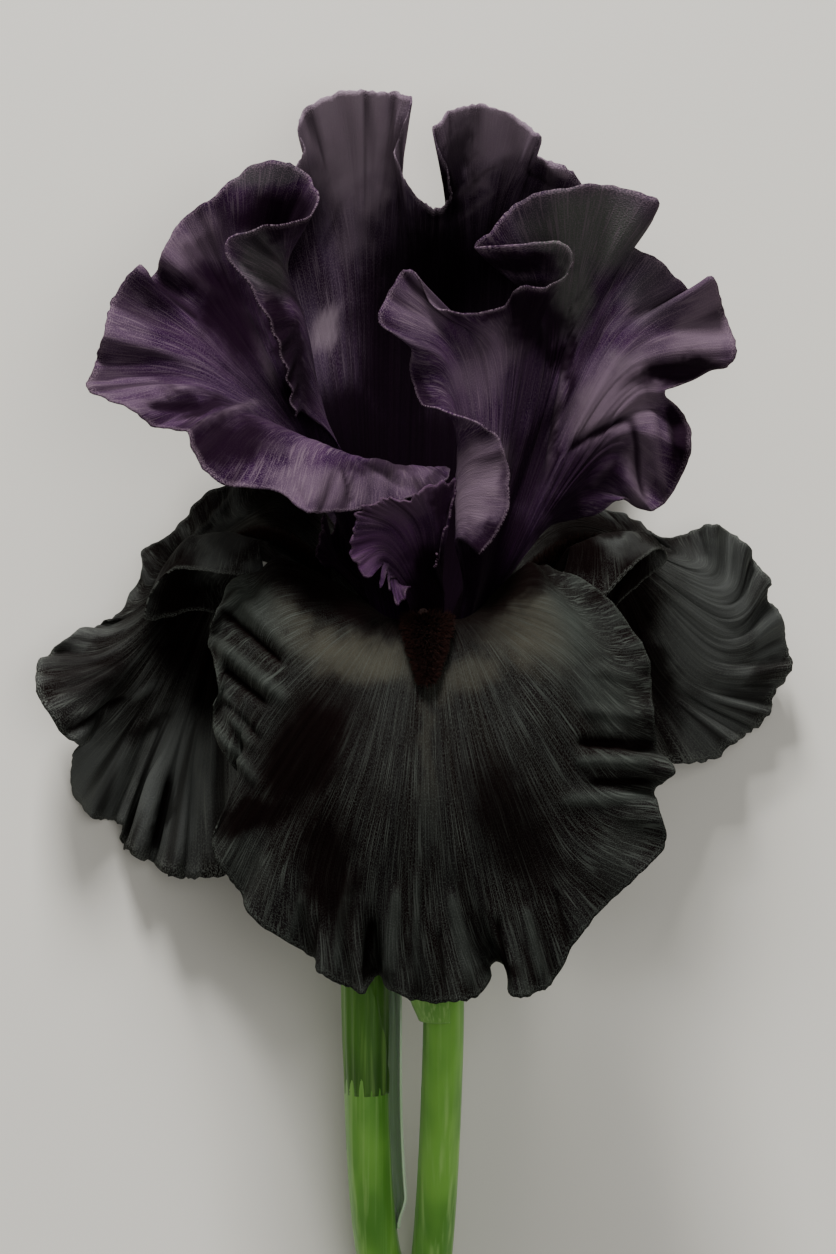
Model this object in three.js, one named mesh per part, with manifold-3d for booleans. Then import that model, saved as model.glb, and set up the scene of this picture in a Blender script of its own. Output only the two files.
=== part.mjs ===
// A bearded iris flower, cut with its forked stem and laid on its back. Millimetres.
// +Y runs up the flower, +X is its right and +Z points from its back petals to its front one.
import * as THREE from "three";
import Module from "manifold-3d";
import { ParametricGeometry } from "three/addons/geometries/ParametricGeometry.js";
import { mergeVertices } from "three/addons/utils/BufferGeometryUtils.js";

const wasm = await Module();
wasm.setup();

// ---- Driving dimensions --------------------------------------------------------------------------
const BLOOM_IN_FRAME = [2, 29, 35.4]; // where the bloom's own centre lies in the resting frame
const AXIS_LEAN = 9; // degrees that the flower's axis leans towards its front
const SIDE_LEAN = 3; // and to its left
const HEART = [0, -14, 0]; // top of the perianth tube, where every petal starts
const PETAL_THICKNESS = 0.9;
const STYLE_THICKNESS = 1.2;
const BRACT_THICKNESS = 0.8;
const BRACT_TIP_SHARE = 0.06; // of the bract's full spread
const CLAW_RADIUS = 5.2; // petal claws stand on a circle round the heart
const CLAW_HALF_ANGLE = 22;
const CLAW_SEAT = 0.45; // height of the claws over the tube's top face
// Profiles round the axis, each point [radius, height over the heart].
const TUBE_PROFILE = [[0, -24], [3, -24], [3, -12], [4.4, -6], [6.4, -1.5], [6.4, 0], [0, 0]];
const OVARY_PROFILE = [
  [0, -46.3], [3.2, -46.3], [4.3, -42.3], [4.6, -36.3], [4.1, -29.3], [3.2, -24.3], [0, -24.3],
];
const SPATHE_INNER = {
  angle: 80,
  halfAngle: 105,
  profile: [[4.3, -53], [5.9, -46], [6.1, -36], [5, -22]],
};
const SPATHE_OUTER = {
  angle: -95,
  halfAngle: 105,
  profile: [[4.3, -58], [5.9, -53], [7.6, -42], [6.6, -27]],
};
const STEM_RADIUS = 3.5;
const BRANCH_RADIUS = 3.8;
const FIT_GAP = 0.3;
const BEARD_HEIGHT = 2.6;
const BEARD_SEAT = 0.55; // clear of the petal under it
const BEARD_WIDTH = 8;
const BEARD_TAPER = [0.25, 0.94]; // shares of half a wave, from the beard's first end to its tip
const SIDE_BEARD_SEAT = 1.1; // the side falls turn sharply at the brow
const SIDE_BEARD_WIDTH = 3.6;
const STYLE_RADIUS = 1.5;
const STYLE_HALF_ANGLE = 40;
const FILAMENT_RADIUS = 0.6;
const ANTHER_RADIUS = 1.2;
// Each point [outwards, height over the heart].
const STAMEN_PATH = [[3.4, 0.7], [5.8, 4.5], [8.8, 8.4], [12.6, 12.6]];
const SIDE_BRACT_BACK = 220; // degrees round the side branch, from its front
const SIDE_BRACT_FRONT = 70;
const SIDE_BRACT_FLARE = 1;

// Angles round the flower's axis, from its front towards its right.
const FRONT = 0;
const RIGHT_BACK = 120;
const LEFT_BACK = -120;
const RIGHT_FRONT = 60;
const LEFT_FRONT = -60;
const BACK = 180;

// ---- Petal shapes: rings of points from the haft out to the margin --------------------------------
const FALL_FRONT_RINGS = [
  [[-9, -3, 11], [-6, -5, 15], [0, -6, 18], [6, -5, 15], [9, -3, 11]],
  [
    [-23, 5, 12], [-23, -2, 17], [-20, -12, 21], [-16.5, -20, 23.5], [-11.5, -26, 25.5],
    [-6, -29.5, 26.8], [0, -30.5, 27], [6, -29.5, 26.8], [12, -26, 25.5], [16.5, -20, 23.5],
    [20.5, -12, 21], [20, -4, 18], [16, 4, 13],
  ],
  [
    [-28, 3, 10], [-30.5, -6, 13.5], [-29.5, -16, 16], [-28.5, -26, 17.5], [-26, -35.5, 18.5],
    [-21, -43.5, 20], [-14, -48.5, 21.5], [-7, -51.5, 22.5], [1, -52.5, 23], [8.5, -51.5, 22.5],
    [15.5, -48.5, 21.5], [22, -43, 20.5], [27.5, -35.5, 19.5], [30.5, -27, 18.5], [31.5, -18, 17.5],
    [28.5, -8.5, 16], [18.5, 4, 11.5],
  ],
  [
    [-32, 2, 8], [-35, -4, 12], [-36, -9, 9], [-34.5, -15, 13], [-35.5, -21, 10], [-33, -28, 13.5],
    [-29.5, -33, 10.5], [-34, -38, 14], [-35.5, -42, 13], [-34, -46, 14], [-31, -50, 13], [-28, -55, 17],
    [-20, -60, 15], [-18, -63, 19], [-13, -65.5, 18], [-10, -66.5, 21], [-8, -63.5, 12],
    [-5, -66.5, 20], [-0.5, -68, 18], [4, -67.8, 21], [8.5, -66.8, 20], [11.5, -61.5, 10],
    [14, -67, 20], [18, -66.5, 19], [21, -64.5, 17], [25, -57.5, 18], [30, -51.5, 16.5],
    [35, -47, 17], [39.5, -42, 14.5], [38.5, -36.5, 16.5], [37.5, -33, 10.5], [41, -30, 15.5],
    [38.5, -26.5, 9], [37.5, -21.5, 14.5], [37, -16, 13], [36.5, -11, 14], [33.5, -6, 13],
    [28.5, 0, 12], [20, 4, 9],
  ],
];

const FALL_LEFT_RINGS = [
  [[-11, -7, 0], [-14, -2, -6], [-11, 4, -10.5]],
  [[-21, 1.5, 1], [-27, 6, -4], [-30, 7, -10], [-27, 12, -14], [-20, 16.5, -16]],
  [
    [-27, 8, 3], [-34, 9.5, 2], [-39.5, 7.5, -2], [-37, 3.5, -7], [-31, -1, -9], [-30, -8, -12],
    [-33, -15, -16], [-37, -20, -20], [-40, -21.5, -22], [-42.5, -21.5, -23], [-45, -20, -23.5],
    [-47.5, -18, -23.5], [-49.5, -15, -22], [-51, -12, -20], [-51, -8.5, -21], [-49, -4.5, -23.5],
    [-46, -0.5, -24.5], [-42, 4, -24], [-37, 8, -22], [-31.5, 12, -20], [-25, 17.5, -18],
  ],
  [
    [-27, 2, 3], [-33, 2.4, 5], [-39, 3.2, 3], [-43, 2.6, 0], [-47, -4.5, -5], [-44, -5, -9],
    [-38, -3.5, -9], [-32, -6, -8], [-28, -13, -8], [-26, -22, -8], [-26, -31, -9], [-28, -39, -12],
    [-32, -45, -15], [-35, -48.5, -21], [-40, -49, -26], [-44, -48.5, -24], [-46, -46.5, -31],
    [-50, -45, -28], [-52, -43, -34], [-51.5, -40, -30], [-54, -39, -35], [-57, -39, -30],
    [-60, -34, -34], [-60, -28, -30], [-57, -25.5, -27], [-60, -25.5, -20], [-65, -19, -18],
    [-66, -14, -23], [-64, -10.5, -26], [-60, -7.5, -24], [-56, -6, -29], [-53, -5, -26],
    [-50, -1, -30], [-48, 3, -27], [-48, 7, -29], [-44, 9, -26], [-41, 12, -27], [-38, 16, -24],
    [-33, 18, -22], [-30, 18, -20], [-27, 18.5, -19],
  ],
];

const FALL_RIGHT_RINGS = [
  [[11, -7, 0], [14, -2, -6], [11.5, 3, -9.5]],
  [[19, 0.5, 1], [26, 6, -4], [29, 6, -10], [26, 10, -14], [19, 13.5, -15]],
  [
    [23.5, 7, 3], [31, 9.5, 2], [36, 8.5, -3], [33, 4, -7.5], [29.5, -1, -10], [30, -7, -14],
    [35, -12, -19], [40, -14.5, -22.5], [44.5, -14, -24.5], [48, -11, -25], [49.5, -7, -25],
    [49.5, -3, -24.5], [48, 1, -24.5], [44, 4.5, -23.5], [38, 7.5, -22], [32, 10, -20], [23, 14.5, -18],
  ],
  [
    [21.5, -1, 2.5], [28, -2, 4.5], [34.5, 4, 4], [38.5, 6.8, -1], [40, 5, -7], [35.5, 1, -9],
    [31, -3.5, -8], [29.5, -10, -8], [30, -18, -9], [33, -24, -12], [37, -28, -15], [42, -29.5, -21],
    [48, -29, -29], [52, -26, -27], [55, -24, -34], [58, -21, -30], [59.5, -16.5, -35], [62, -13, -28],
    [61, -9, -31], [60, -4, -25], [57.5, -1, -28], [58, 2, -23], [55.5, 5, -27], [54, 8, -23],
    [51, 10, -27], [48, 11.5, -23], [44, 10, -27], [40, 9, -23], [36, 11, -25], [33, 13, -22],
    [28, 14, -21], [24, 14.5, -20], [20, 15.5, -19],
  ],
];

const STANDARD_LEFT_RINGS = [
  [[-1, 5, 8], [-9, 12, 9], [-18, 20, 4], [-19, 25, -1], [-13, 20, 0]],
  [
    [2, 19, 12], [-12, 22, 18], [-27, 28, 12], [-35, 33, 1], [-35, 41, -3], [-31, 48, -8],
    [-24.5, 51, -11], [-21, 46, 3], [-20, 29, 5],
  ],
  [
    [4, 19.5, 13], [2.5, 17.5, 16], [-4, 14.5, 18.5], [-10, 13, 20.5], [-16, 12.5, 23.5], [-20, 12.5, 27],
    [-25, 16, 24], [-33, 17, 25], [-38, 21, 22], [-40, 26, 18], [-45, 27, 10], [-50, 30, 9],
    [-56.5, 33, 3], [-55.5, 38, -3], [-54, 43, 0], [-52.5, 49, -6], [-48.5, 54, -3], [-46, 52.5, -8],
    [-44, 57, -5], [-41, 62, -9], [-36, 65.5, -5], [-31, 70, -9], [-25, 72, -3], [-19.5, 69, -2],
    [-18, 64, 5], [-21, 61, 10], [-27.5, 60, 13], [-33.5, 57, 12], [-29.5, 50, 12], [-25.5, 43, 11.5],
    [-23.5, 37, 11], [-22.8, 33, 10], [-21.8, 28.5, 8.5],
  ],
];

const STANDARD_RIGHT_RINGS = [
  [[6, 0, 9], [9, 5, 11], [12, 8, 6.5], [15, 6, 6.5], [12, 0, 3.5]],
  [
    [5, 8, 14], [5, 24, 14], [5, 36, 14], [12, 37, 12], [17, 40, 8], [21, 43, 2], [25, 42, 1],
    [31, 39, 6], [32, 30, 6], [28, 20, 5.5], [18, 8.5, 3],
  ],
  [
    [9, 5.5, 19], [13, 12, 20], [13.5, 20, 19], [11, 26, 19], [4, 29, 19], [-1, 31, 16], [-3, 36, 15],
    [-3, 40, 18], [-8, 44, 20], [-6, 50, 17], [-3, 53, 18], [0.5, 47.5, 17], [5, 45.5, 18.5],
    [12, 46.5, 15.5], [15, 50, 18], [20, 50, 16.5], [24, 53.5, 18.5], [21, 57.5, 19.5], [8, 56.5, 13],
    [11, 60, 14], [15, 64.5, 12], [22, 66.5, 16], [30, 67, 12], [38, 64.5, 15], [37, 61, 10],
    [34, 57.5, 6], [38, 55, 8], [44, 50, 2], [47.5, 52, 5], [50, 46, -1], [51.5, 39, 3],
    [47, 36, 0], [39.5, 33, 4], [43, 29, -2], [44, 23, 2], [41.5, 17, -3], [38, 13, 2], [35, 14, -1],
    [32, 15, 4], [27, 12, 2], [20, 12, 2.5],
  ],
];

const STANDARD_BACK_RINGS = [
  [[-4.5, -6, -8], [-10, 8, -20], [0, 10, -25], [10, 8, -20], [4.5, -6, -8]],
  [
    [-7, 0, -11], [-22, 30, -33], [-15, 54, -31], [-6, 56, -32], [1, 46, -35], [7, 56, -32],
    [14, 54, -31], [22, 30, -33], [7, 0, -11],
  ],
  [
    [-9, 3, -12], [-16, 8, -15], [-24, 16, -20], [-32, 28, -25], [-35, 44, -26], [-32, 58, -24],
    [-26, 68, -20], [-21, 73, -16], [-21.5, 79, -13], [-17, 83, -15], [-11, 84, -12], [-5, 83.5, -14],
    [-2.5, 82, -10], [-5, 74, -16], [-3, 68, -20], [0, 65, -22], [2, 64.5, -22], [4, 67, -20],
    [3, 72, -16], [1, 77, -12], [4, 80.5, -14], [9.5, 81.5, -11], [15, 79.5, -14], [19, 76, -11],
    [18.5, 73.5, -15], [23, 71.5, -13], [27, 67, -17], [31, 58, -22], [34, 44, -26], [31, 28, -25],
    [23, 16, -20], [15, 8, -15], [9, 3, -12],
  ],
];

// The front style arm, whose crest hangs lower on its left, and the two side arms, as
// [sideways, height over the heart, outwards].
const STYLE_FRONT_RINGS = [
  [[-2.8, -3, 8.8], [0, -1.5, 9.8], [2.8, -3, 8.8]],
  [[-4, 0, 14], [-6.5, 4, 17], [-6, 8.5, 18.5], [-2, 10, 18], [1.5, 9, 17.5], [2.5, 5, 16], [2, 1, 14]],
  [
    [-2.5, 0.5, 20], [-4.8, -2.8, 21.5], [-8, 0, 22], [-12.8, 4, 22], [-13, 9, 23], [-12, 13.5, 24],
    [-8, 15.5, 23], [-3.5, 15.5, 24], [-0.5, 18, 22.5], [5, 19.3, 22], [4, 14, 22], [2.3, 9, 21.5],
    [1, 4, 20.5],
  ],
];
const STYLE_SIDE_RINGS = [
  [[-2.6, 11, 8.2], [0, 12.5, 8.7], [2.6, 11, 8.2]],
  [[-4, 17.5, 13.5], [-2.5, 19, 15], [0, 18.5, 15.5], [2.5, 19, 15], [4, 17.5, 13.5]],
  [
    [-4.5, 18, 16], [-6, 21, 17], [-5.5, 25.5, 16], [-3, 27.5, 16.5], [0, 22.5, 18], [3, 27.5, 16.5],
    [5.5, 25.5, 16], [6, 21, 17], [4.5, 18, 16],
  ],
];

// ---- Stem, side branch and its bud ------------------------------------------------------------------
const STEM_PATH = [
  [2.8, -70, -9.4], [2.4, -85, -13.5], [1.7, -100, -18.6], [0.8, -112, -23], [-0.4, -123, -26.9],
  [-0.8, -133, -29.8], [-1, -142, -31.6],
];
const BRANCH_PATH = [
  [-1.2, -131, -29.2], [-4.6, -121, -27.2], [-7.9, -112, -24.6], [-9.2, -102, -21.5],
  [-9.8, -92, -18.6], [-10.1, -84.3, -16.6],
];
const SPATHE_FOOT = [-10.1, -83.9, -16.5];
const SPATHE_TIP = [-10.6, -38, -8.5];
const SPATHE_PROFILE = [[0, 0], [3.8, 0], [4.1, 0.2], [4.2, 0.45], [3.4, 0.7], [1.6, 0.9], [0, 1]];
const SIDE_BRACT_PATH = [
  [-8.7, -107, -23.1], [-9.5, -97, -20.1], [-10.1, -84, -16.6], [-10.3, -66, -13.4], [-10.5, -52, -11],
];

const COLOURS = {
  fall: 0x2b2a2c,
  standard: 0x4a2c50,
  beard: 0x3a2418,
  styleArm: 0x5b3f52,
  stamen: 0xb9a58c,
  tube: 0x4d5a35,
  ovary: 0x5f8a3c,
  spathe: 0x7d9150,
  stem: 0x6f9a3f,
  sideSpathe: 0x7aa04a,
  sideBract: 0xa9c4a0,
};
const MIDRIB = 0.5; // share of a petal's width
const STEP = 0.004; // share of a surface over which its slope is taken

// ---- Geometry helpers -----------------------------------------------------------------------------
const radians = THREE.MathUtils.degToRad;
const point = (xyz) => new THREE.Vector3(...xyz);
const heart = point(HEART);
const lean = new THREE.Euler(radians(AXIS_LEAN), 0, radians(SIDE_LEAN));
const right = new THREE.Vector3(1, 0, 0).applyEuler(lean);
const axis = new THREE.Vector3(0, 1, 0).applyEuler(lean);
const front = new THREE.Vector3(0, 0, 1).applyEuler(lean);

// A point at an angle, radius and height round the flower's own axis, from the heart.
function around(angle, radius, height) {
  const turn = radians(angle);
  return heart
    .clone()
    .addScaledVector(right, radius * Math.sin(turn))
    .addScaledVector(front, radius * Math.cos(turn))
    .addScaledVector(axis, height);
}

function smoothCurve(points) {
  return new THREE.CatmullRomCurve3(points, false, "catmullrom", 0.5);
}

// A surface through rings of points: u runs along every ring, v from the first ring to the last.
function loft(rings) {
  const curves = rings.map((ring) => smoothCurve(ring));
  return (u, v) => smoothCurve(curves.map((curve) => curve.getPoint(u))).getPoint(v);
}

function surfaceNormal(surface, u, v) {
  const lowU = Math.max(u - STEP, 0);
  const highU = Math.min(u + STEP, 1);
  const lowV = Math.max(v - STEP, 0);
  const highV = Math.min(v + STEP, 1);
  const alongU = surface(highU, v).sub(surface(lowU, v));
  const alongV = surface(u, highV).sub(surface(u, lowV));
  return alongU.cross(alongV).normalize();
}

// A closed thin sheet: its two faces are the surface moved both ways, and meet on its edge.
function sheet(surface, thickness, across, along) {
  const edge = 1e-6;
  const wrap = (s, t, target) => {
    const u = s < 0.5 ? 2 * s : 2 - 2 * s;
    const side = s < 0.5 ? 1 : -1;
    const inside = u > edge && u < 1 - edge && t > edge && t < 1 - edge;
    const offset = inside ? (side * thickness) / 2 : 0;
    target.copy(surface(u, t)).addScaledVector(surfaceNormal(surface, u, t), offset);
  };
  return closed(new ParametricGeometry(wrap, 2 * across, along));
}

// Shared corners merged, so that the faces make one closed body.
function closed(geometry) {
  geometry.deleteAttribute("normal");
  geometry.deleteAttribute("uv");
  const merged = mergeVertices(geometry, 1e-4);
  const corners = [];
  for (let i = 0; i < merged.index.count; i += 3) {
    const [a, b, c] = [0, 1, 2].map((k) => merged.index.getX(i + k));
    if (a !== b && b !== c && c !== a) corners.push(a, b, c);
  }
  merged.setIndex(corners);
  return merged;
}

function solid(geometry) {
  const shell = closed(geometry);
  const vertProperties = new Float32Array(shell.attributes.position.array);
  const triVerts = new Uint32Array(shell.index.array);
  return new wasm.Manifold(new wasm.Mesh({ numProp: 3, vertProperties, triVerts }));
}

function joined(geometries) {
  const whole = geometries.map((geometry) => solid(geometry)).reduce((a, b) => a.add(b));
  const mesh = whole.getMesh();
  const geometry = new THREE.BufferGeometry();
  geometry.setAttribute("position", new THREE.BufferAttribute(mesh.vertProperties, 3));
  geometry.setIndex(new THREE.BufferAttribute(mesh.triVerts, 1));
  return geometry;
}

// A round bar along a smooth path.
function bar(path, radius, sides, steps) {
  const section = new THREE.Shape();
  section.absarc(0, 0, radius, 0, 2 * Math.PI);
  return new THREE.ExtrudeGeometry(section, {
    steps,
    curveSegments: Math.ceil(sides / 2),
    extrudePath: smoothCurve(path),
  });
}

// A turned body on the flower's axis, its profile given as [radius, height over the heart].
function turned(profile, sides) {
  const geometry = new THREE.LatheGeometry(profile.map(([r, h]) => new THREE.Vector2(r, h)), sides);
  geometry.applyMatrix4(new THREE.Matrix4().makeBasis(right, axis, front));
  geometry.translate(...HEART);
  return geometry;
}

function finish(name, geometry, colour, roughness) {
  const material = new THREE.MeshStandardMaterial({ color: colour, roughness, metalness: 0 });
  const mesh = new THREE.Mesh(geometry, material);
  mesh.name = name;
  return mesh;
}

// ---- Petals ---------------------------------------------------------------------------------------
// A petal's claw is a short arc on the heart's circle, from one edge of the petal to the other.
function claw(angle, turn) {
  return [-1, 0, 1].map((k) => around(angle + turn * k * CLAW_HALF_ANGLE, CLAW_RADIUS, CLAW_SEAT));
}

function petalSurface(angle, turn, rings) {
  return loft([claw(angle, turn), ...rings.map((ring) => ring.map(point))]);
}

const fallFront = petalSurface(FRONT, 1, FALL_FRONT_RINGS);
const fallLeft = petalSurface(LEFT_BACK, -1, FALL_LEFT_RINGS);
const fallRight = petalSurface(RIGHT_BACK, 1, FALL_RIGHT_RINGS);
const standardLeft = petalSurface(LEFT_FRONT, -1, STANDARD_LEFT_RINGS);
const standardRight = petalSurface(RIGHT_FRONT, 1, STANDARD_RIGHT_RINGS);
const standardBack = petalSurface(BACK, -1, STANDARD_BACK_RINGS);

// A petal's faces are split across at every point of its margin.
function petal(name, surface, rings, steps, colour) {
  const across = rings.at(-1).length - 1;
  return finish(name, sheet(surface, PETAL_THICKNESS, across, steps), colour, 0.85);
}

function fall(name, surface, rings) {
  return petal(name, surface, rings, 10, COLOURS.fall);
}

function standard(name, surface, rings) {
  return petal(name, surface, rings, 8, COLOURS.standard);
}

// A beard lies along the middle of a fall's upper face, from the heart to past its brow.
function beard(name, surface, up, seat, width, start, end) {
  const lift = (BEARD_HEIGHT + PETAL_THICKNESS) / 2 + seat;
  const bed = (s, t) => {
    const v = start + (end - start) * t;
    const across = surface(MIDRIB + STEP, v).sub(surface(MIDRIB - STEP, v)).normalize();
    const halfWave = THREE.MathUtils.lerp(...BEARD_TAPER, t);
    const side = (s - MIDRIB) * width * Math.sin(Math.PI * halfWave);
    const lifted = surface(MIDRIB, v).addScaledVector(surfaceNormal(surface, MIDRIB, v), up * lift);
    return lifted.addScaledVector(across, side);
  };
  return finish(name, sheet(bed, BEARD_HEIGHT, 5, 7), COLOURS.beard, 0.95);
}

// ---- Style arms and stamens -----------------------------------------------------------------------
function styleBase(angle) {
  return [-1, 0, 1].map((k) => around(angle + k * STYLE_HALF_ANGLE, STYLE_RADIUS, CLAW_SEAT));
}

function styleArm(name, angle, rings) {
  const surface = loft([styleBase(angle), ...rings]);
  return finish(name, sheet(surface, STYLE_THICKNESS, 12, 7), COLOURS.styleArm, 0.7);
}

// Ring points given as [sideways, height, outwards] for an arm at any angle.
function turnedRings(angle, rings) {
  const sideways = right.clone().applyAxisAngle(axis, radians(angle));
  const place = ([side, height, out]) => around(angle, out, height).addScaledVector(sideways, side);
  return rings.map((ring) => ring.map(place));
}

function stamen(name, angle) {
  const [foot, bend, neck, tip] = STAMEN_PATH.map(([out, height]) => around(angle, out, height));
  const filament = bar([foot, bend, neck], FILAMENT_RADIUS, 6, 4);
  const anther = bar([neck, tip], ANTHER_RADIUS, 8, 3);
  return finish(name, joined([filament, anther]), COLOURS.stamen, 0.8);
}

// ---- Tube, ovary, bracts and stem -----------------------------------------------------------------
function perianthTube() {
  return finish("perianth_tube", closed(turned(TUBE_PROFILE, 16)), COLOURS.tube, 0.7);
}

function ovary() {
  return finish("ovary", closed(turned(OVARY_PROFILE, 16)), COLOURS.ovary, 0.6);
}

// A pointed bract wrapped round the ovary; its profile is [radius, height over the heart].
function bract(name, { angle, halfAngle, profile }) {
  const spine = smoothCurve(profile.map(([radius, height]) => new THREE.Vector3(radius, height, 0)));
  const surface = (u, v) => {
    const { x: radius, y: height } = spine.getPoint(v);
    const spread = halfAngle * Math.max(1 - v ** 3, BRACT_TIP_SHARE);
    return around(angle + (2 * u - 1) * spread, radius, height);
  };
  return finish(name, sheet(surface, BRACT_THICKNESS, 10, 7), COLOURS.spathe, 0.75);
}

function stem() {
  const [, ovaryFoot] = OVARY_PROFILE[0];
  const top = around(FRONT, 0, ovaryFoot - FIT_GAP);
  const main = bar([top, ...STEM_PATH.map(point)], STEM_RADIUS, 14, 16);
  const branch = bar(BRANCH_PATH.map(point), BRANCH_RADIUS, 14, 12);
  return finish("stem", joined([main, branch]), COLOURS.stem, 0.55);
}

// The side branch ends in a bud, closed in its own pointed sheath.
function sideSpathe() {
  const foot = point(SPATHE_FOOT);
  const reach = point(SPATHE_TIP).sub(foot);
  const length = reach.length();
  const up = new THREE.Vector3(0, 1, 0);
  const turn = new THREE.Quaternion().setFromUnitVectors(up, reach.normalize());
  const profile = SPATHE_PROFILE.map(([radius, share]) => new THREE.Vector2(radius, share * length));
  const geometry = new THREE.LatheGeometry(profile, 14);
  geometry.applyQuaternion(turn);
  geometry.translate(...SPATHE_FOOT);
  return finish("side_spathe", closed(geometry), COLOURS.sideSpathe, 0.6);
}

// A leafy bract that clasps the back and right of the side branch.
function sideBract() {
  const spine = smoothCurve(SIDE_BRACT_PATH.map(point));
  const surface = (u, v) => {
    const share = THREE.MathUtils.lerp(u, MIDRIB, v ** 4); // its two edges meet in a point
    const turn = radians(THREE.MathUtils.lerp(SIDE_BRACT_BACK, SIDE_BRACT_FRONT, share));
    const radius = BRANCH_RADIUS + BRACT_THICKNESS + FIT_GAP + SIDE_BRACT_FLARE * u * u;
    return spine.getPoint(v).add(new THREE.Vector3(radius * Math.sin(turn), 0, radius * Math.cos(turn)));
  };
  return finish("side_bract", sheet(surface, BRACT_THICKNESS, 8, 10), COLOURS.sideBract, 0.7);
}

// ---- The flower -----------------------------------------------------------------------------------
const flower = new THREE.Group();
flower.add(
  fall("fall_front", fallFront, FALL_FRONT_RINGS),
  fall("fall_left", fallLeft, FALL_LEFT_RINGS),
  fall("fall_right", fallRight, FALL_RIGHT_RINGS),
  standard("standard_left", standardLeft, STANDARD_LEFT_RINGS),
  standard("standard_right", standardRight, STANDARD_RIGHT_RINGS),
  standard("standard_back", standardBack, STANDARD_BACK_RINGS),
  beard("beard_front", fallFront, -1, BEARD_SEAT, BEARD_WIDTH, 0.235, 0.36),
  beard("beard_left", fallLeft, 1, SIDE_BEARD_SEAT, SIDE_BEARD_WIDTH, 0.3, 0.5),
  beard("beard_right", fallRight, -1, SIDE_BEARD_SEAT, SIDE_BEARD_WIDTH, 0.3, 0.5),
  styleArm("style_arm_front", FRONT, STYLE_FRONT_RINGS.map((ring) => ring.map(point))),
  styleArm("style_arm_left", LEFT_BACK, turnedRings(LEFT_BACK, STYLE_SIDE_RINGS)),
  styleArm("style_arm_right", RIGHT_BACK, turnedRings(RIGHT_BACK, STYLE_SIDE_RINGS)),
  stamen("stamen_front", FRONT),
  stamen("stamen_left", LEFT_BACK),
  stamen("stamen_right", RIGHT_BACK),
  perianthTube(),
  ovary(),
  bract("spathe_inner", SPATHE_INNER),
  bract("spathe_outer", SPATHE_OUTER),
  stem(),
  sideSpathe(),
  sideBract(),
);
flower.position.copy(point(BLOOM_IN_FRAME));

export default flower;
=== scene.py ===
# %% [markdown]
# # A bearded iris, petal by petal
# The flower lies on its back on a pale table. The measured solids of every piece are loaded first
# as a fixed frame. Each cell after that grows one piece of the real flower round its solid: ruffled
# petals, furry beards, feathery style arms, stamens, bracts and a forked green stem.

# %% Load the frame
import math
import random

import bmesh
import bpy
from mathutils import Matrix, Vector, noise


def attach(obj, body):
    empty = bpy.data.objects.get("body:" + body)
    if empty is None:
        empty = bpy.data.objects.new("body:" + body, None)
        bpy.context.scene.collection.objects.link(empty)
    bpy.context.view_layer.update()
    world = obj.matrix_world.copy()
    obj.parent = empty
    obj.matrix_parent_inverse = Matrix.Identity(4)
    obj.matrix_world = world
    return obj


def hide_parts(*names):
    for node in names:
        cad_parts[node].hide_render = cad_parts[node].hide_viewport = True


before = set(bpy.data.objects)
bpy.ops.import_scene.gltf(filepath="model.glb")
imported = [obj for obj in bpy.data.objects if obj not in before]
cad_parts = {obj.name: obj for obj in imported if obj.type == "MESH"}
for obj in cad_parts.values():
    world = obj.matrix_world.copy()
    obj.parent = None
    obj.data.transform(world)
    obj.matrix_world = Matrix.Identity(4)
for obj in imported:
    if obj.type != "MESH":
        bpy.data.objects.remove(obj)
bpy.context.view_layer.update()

# %% [markdown]
# ## Millimetres and the flower's own centre
# A petal is easiest to describe in millimetres from the middle of the bloom, with the flower's own
# axis leaning a little forwards and to its left. One function brings such a point into the frame.
# Another finds points round the axis, which is how the claws of the petals stand on their tube.

# %% Places round the flower's axis
MM = 0.001
BLOOM_IN_FRAME = Vector((2, 29, 35.4))
HEART = Vector((0, -14, 0))
AXIS_LEAN = math.radians(9)
SIDE_LEAN = math.radians(3)
LEAN = Matrix.Rotation(AXIS_LEAN, 3, "X") @ Matrix.Rotation(SIDE_LEAN, 3, "Z")
RIGHT = LEAN @ Vector((1, 0, 0))
AXIS = LEAN @ Vector((0, 1, 0))
FRONT = LEAN @ Vector((0, 0, 1))


def placed(point_mm):
    return (Vector(point_mm) + BLOOM_IN_FRAME) * MM


def around(angle, radius, height):
    """A point in millimetres round the axis: the angle runs from the front towards the right."""
    turn = math.radians(angle)
    outwards = RIGHT * math.sin(turn) + FRONT * math.cos(turn)
    return HEART + outwards * radius + AXIS * height


print("heart of the flower in the frame:", [round(c, 4) for c in placed(HEART)])

# %% [markdown]
# ## The camera
# The flower is seen squarely from its front, so over a flower on its back the camera looks straight
# down. A long lens far away keeps near and far petals at the same scale, as in a garden portrait.

# %% Camera over the flower
VIEW_CENTRE = Vector((-1.5, -6.1, 8))
VIEW_HEIGHT = 206.9
CAMERA_DISTANCE = 1.8
SENSOR = 36
camera_data = bpy.data.cameras.new("portrait_lens")
camera_data.sensor_width = SENSOR
camera_data.lens = SENSOR * CAMERA_DISTANCE / (VIEW_HEIGHT * MM)
camera = bpy.data.objects.new("portrait_camera", camera_data)
camera.location = placed(VIEW_CENTRE) + Vector((0, 0, CAMERA_DISTANCE))
bpy.context.scene.collection.objects.link(camera)
bpy.context.scene.camera = camera
print("lens:", round(camera_data.lens, 1), "mm")

# %% [markdown]
# ## Colours and nodes
# Paint charts and screens give colours as sRGB hex values, and shaders want linear light, so one
# function turns one into the other. A second adds any shader node with its settings and links, and
# the rest are small groups of nodes that the finishes of this flower share.

# %% Colour and node helpers


def linear(hex_colour):
    channels = [int(hex_colour[i:i + 2], 16) / 255 for i in (1, 3, 5)]
    return tuple(c / 12.92 if c <= 0.04045 else ((c + 0.055) / 1.055) ** 2.4 for c in channels) + (1.0,)


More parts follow.
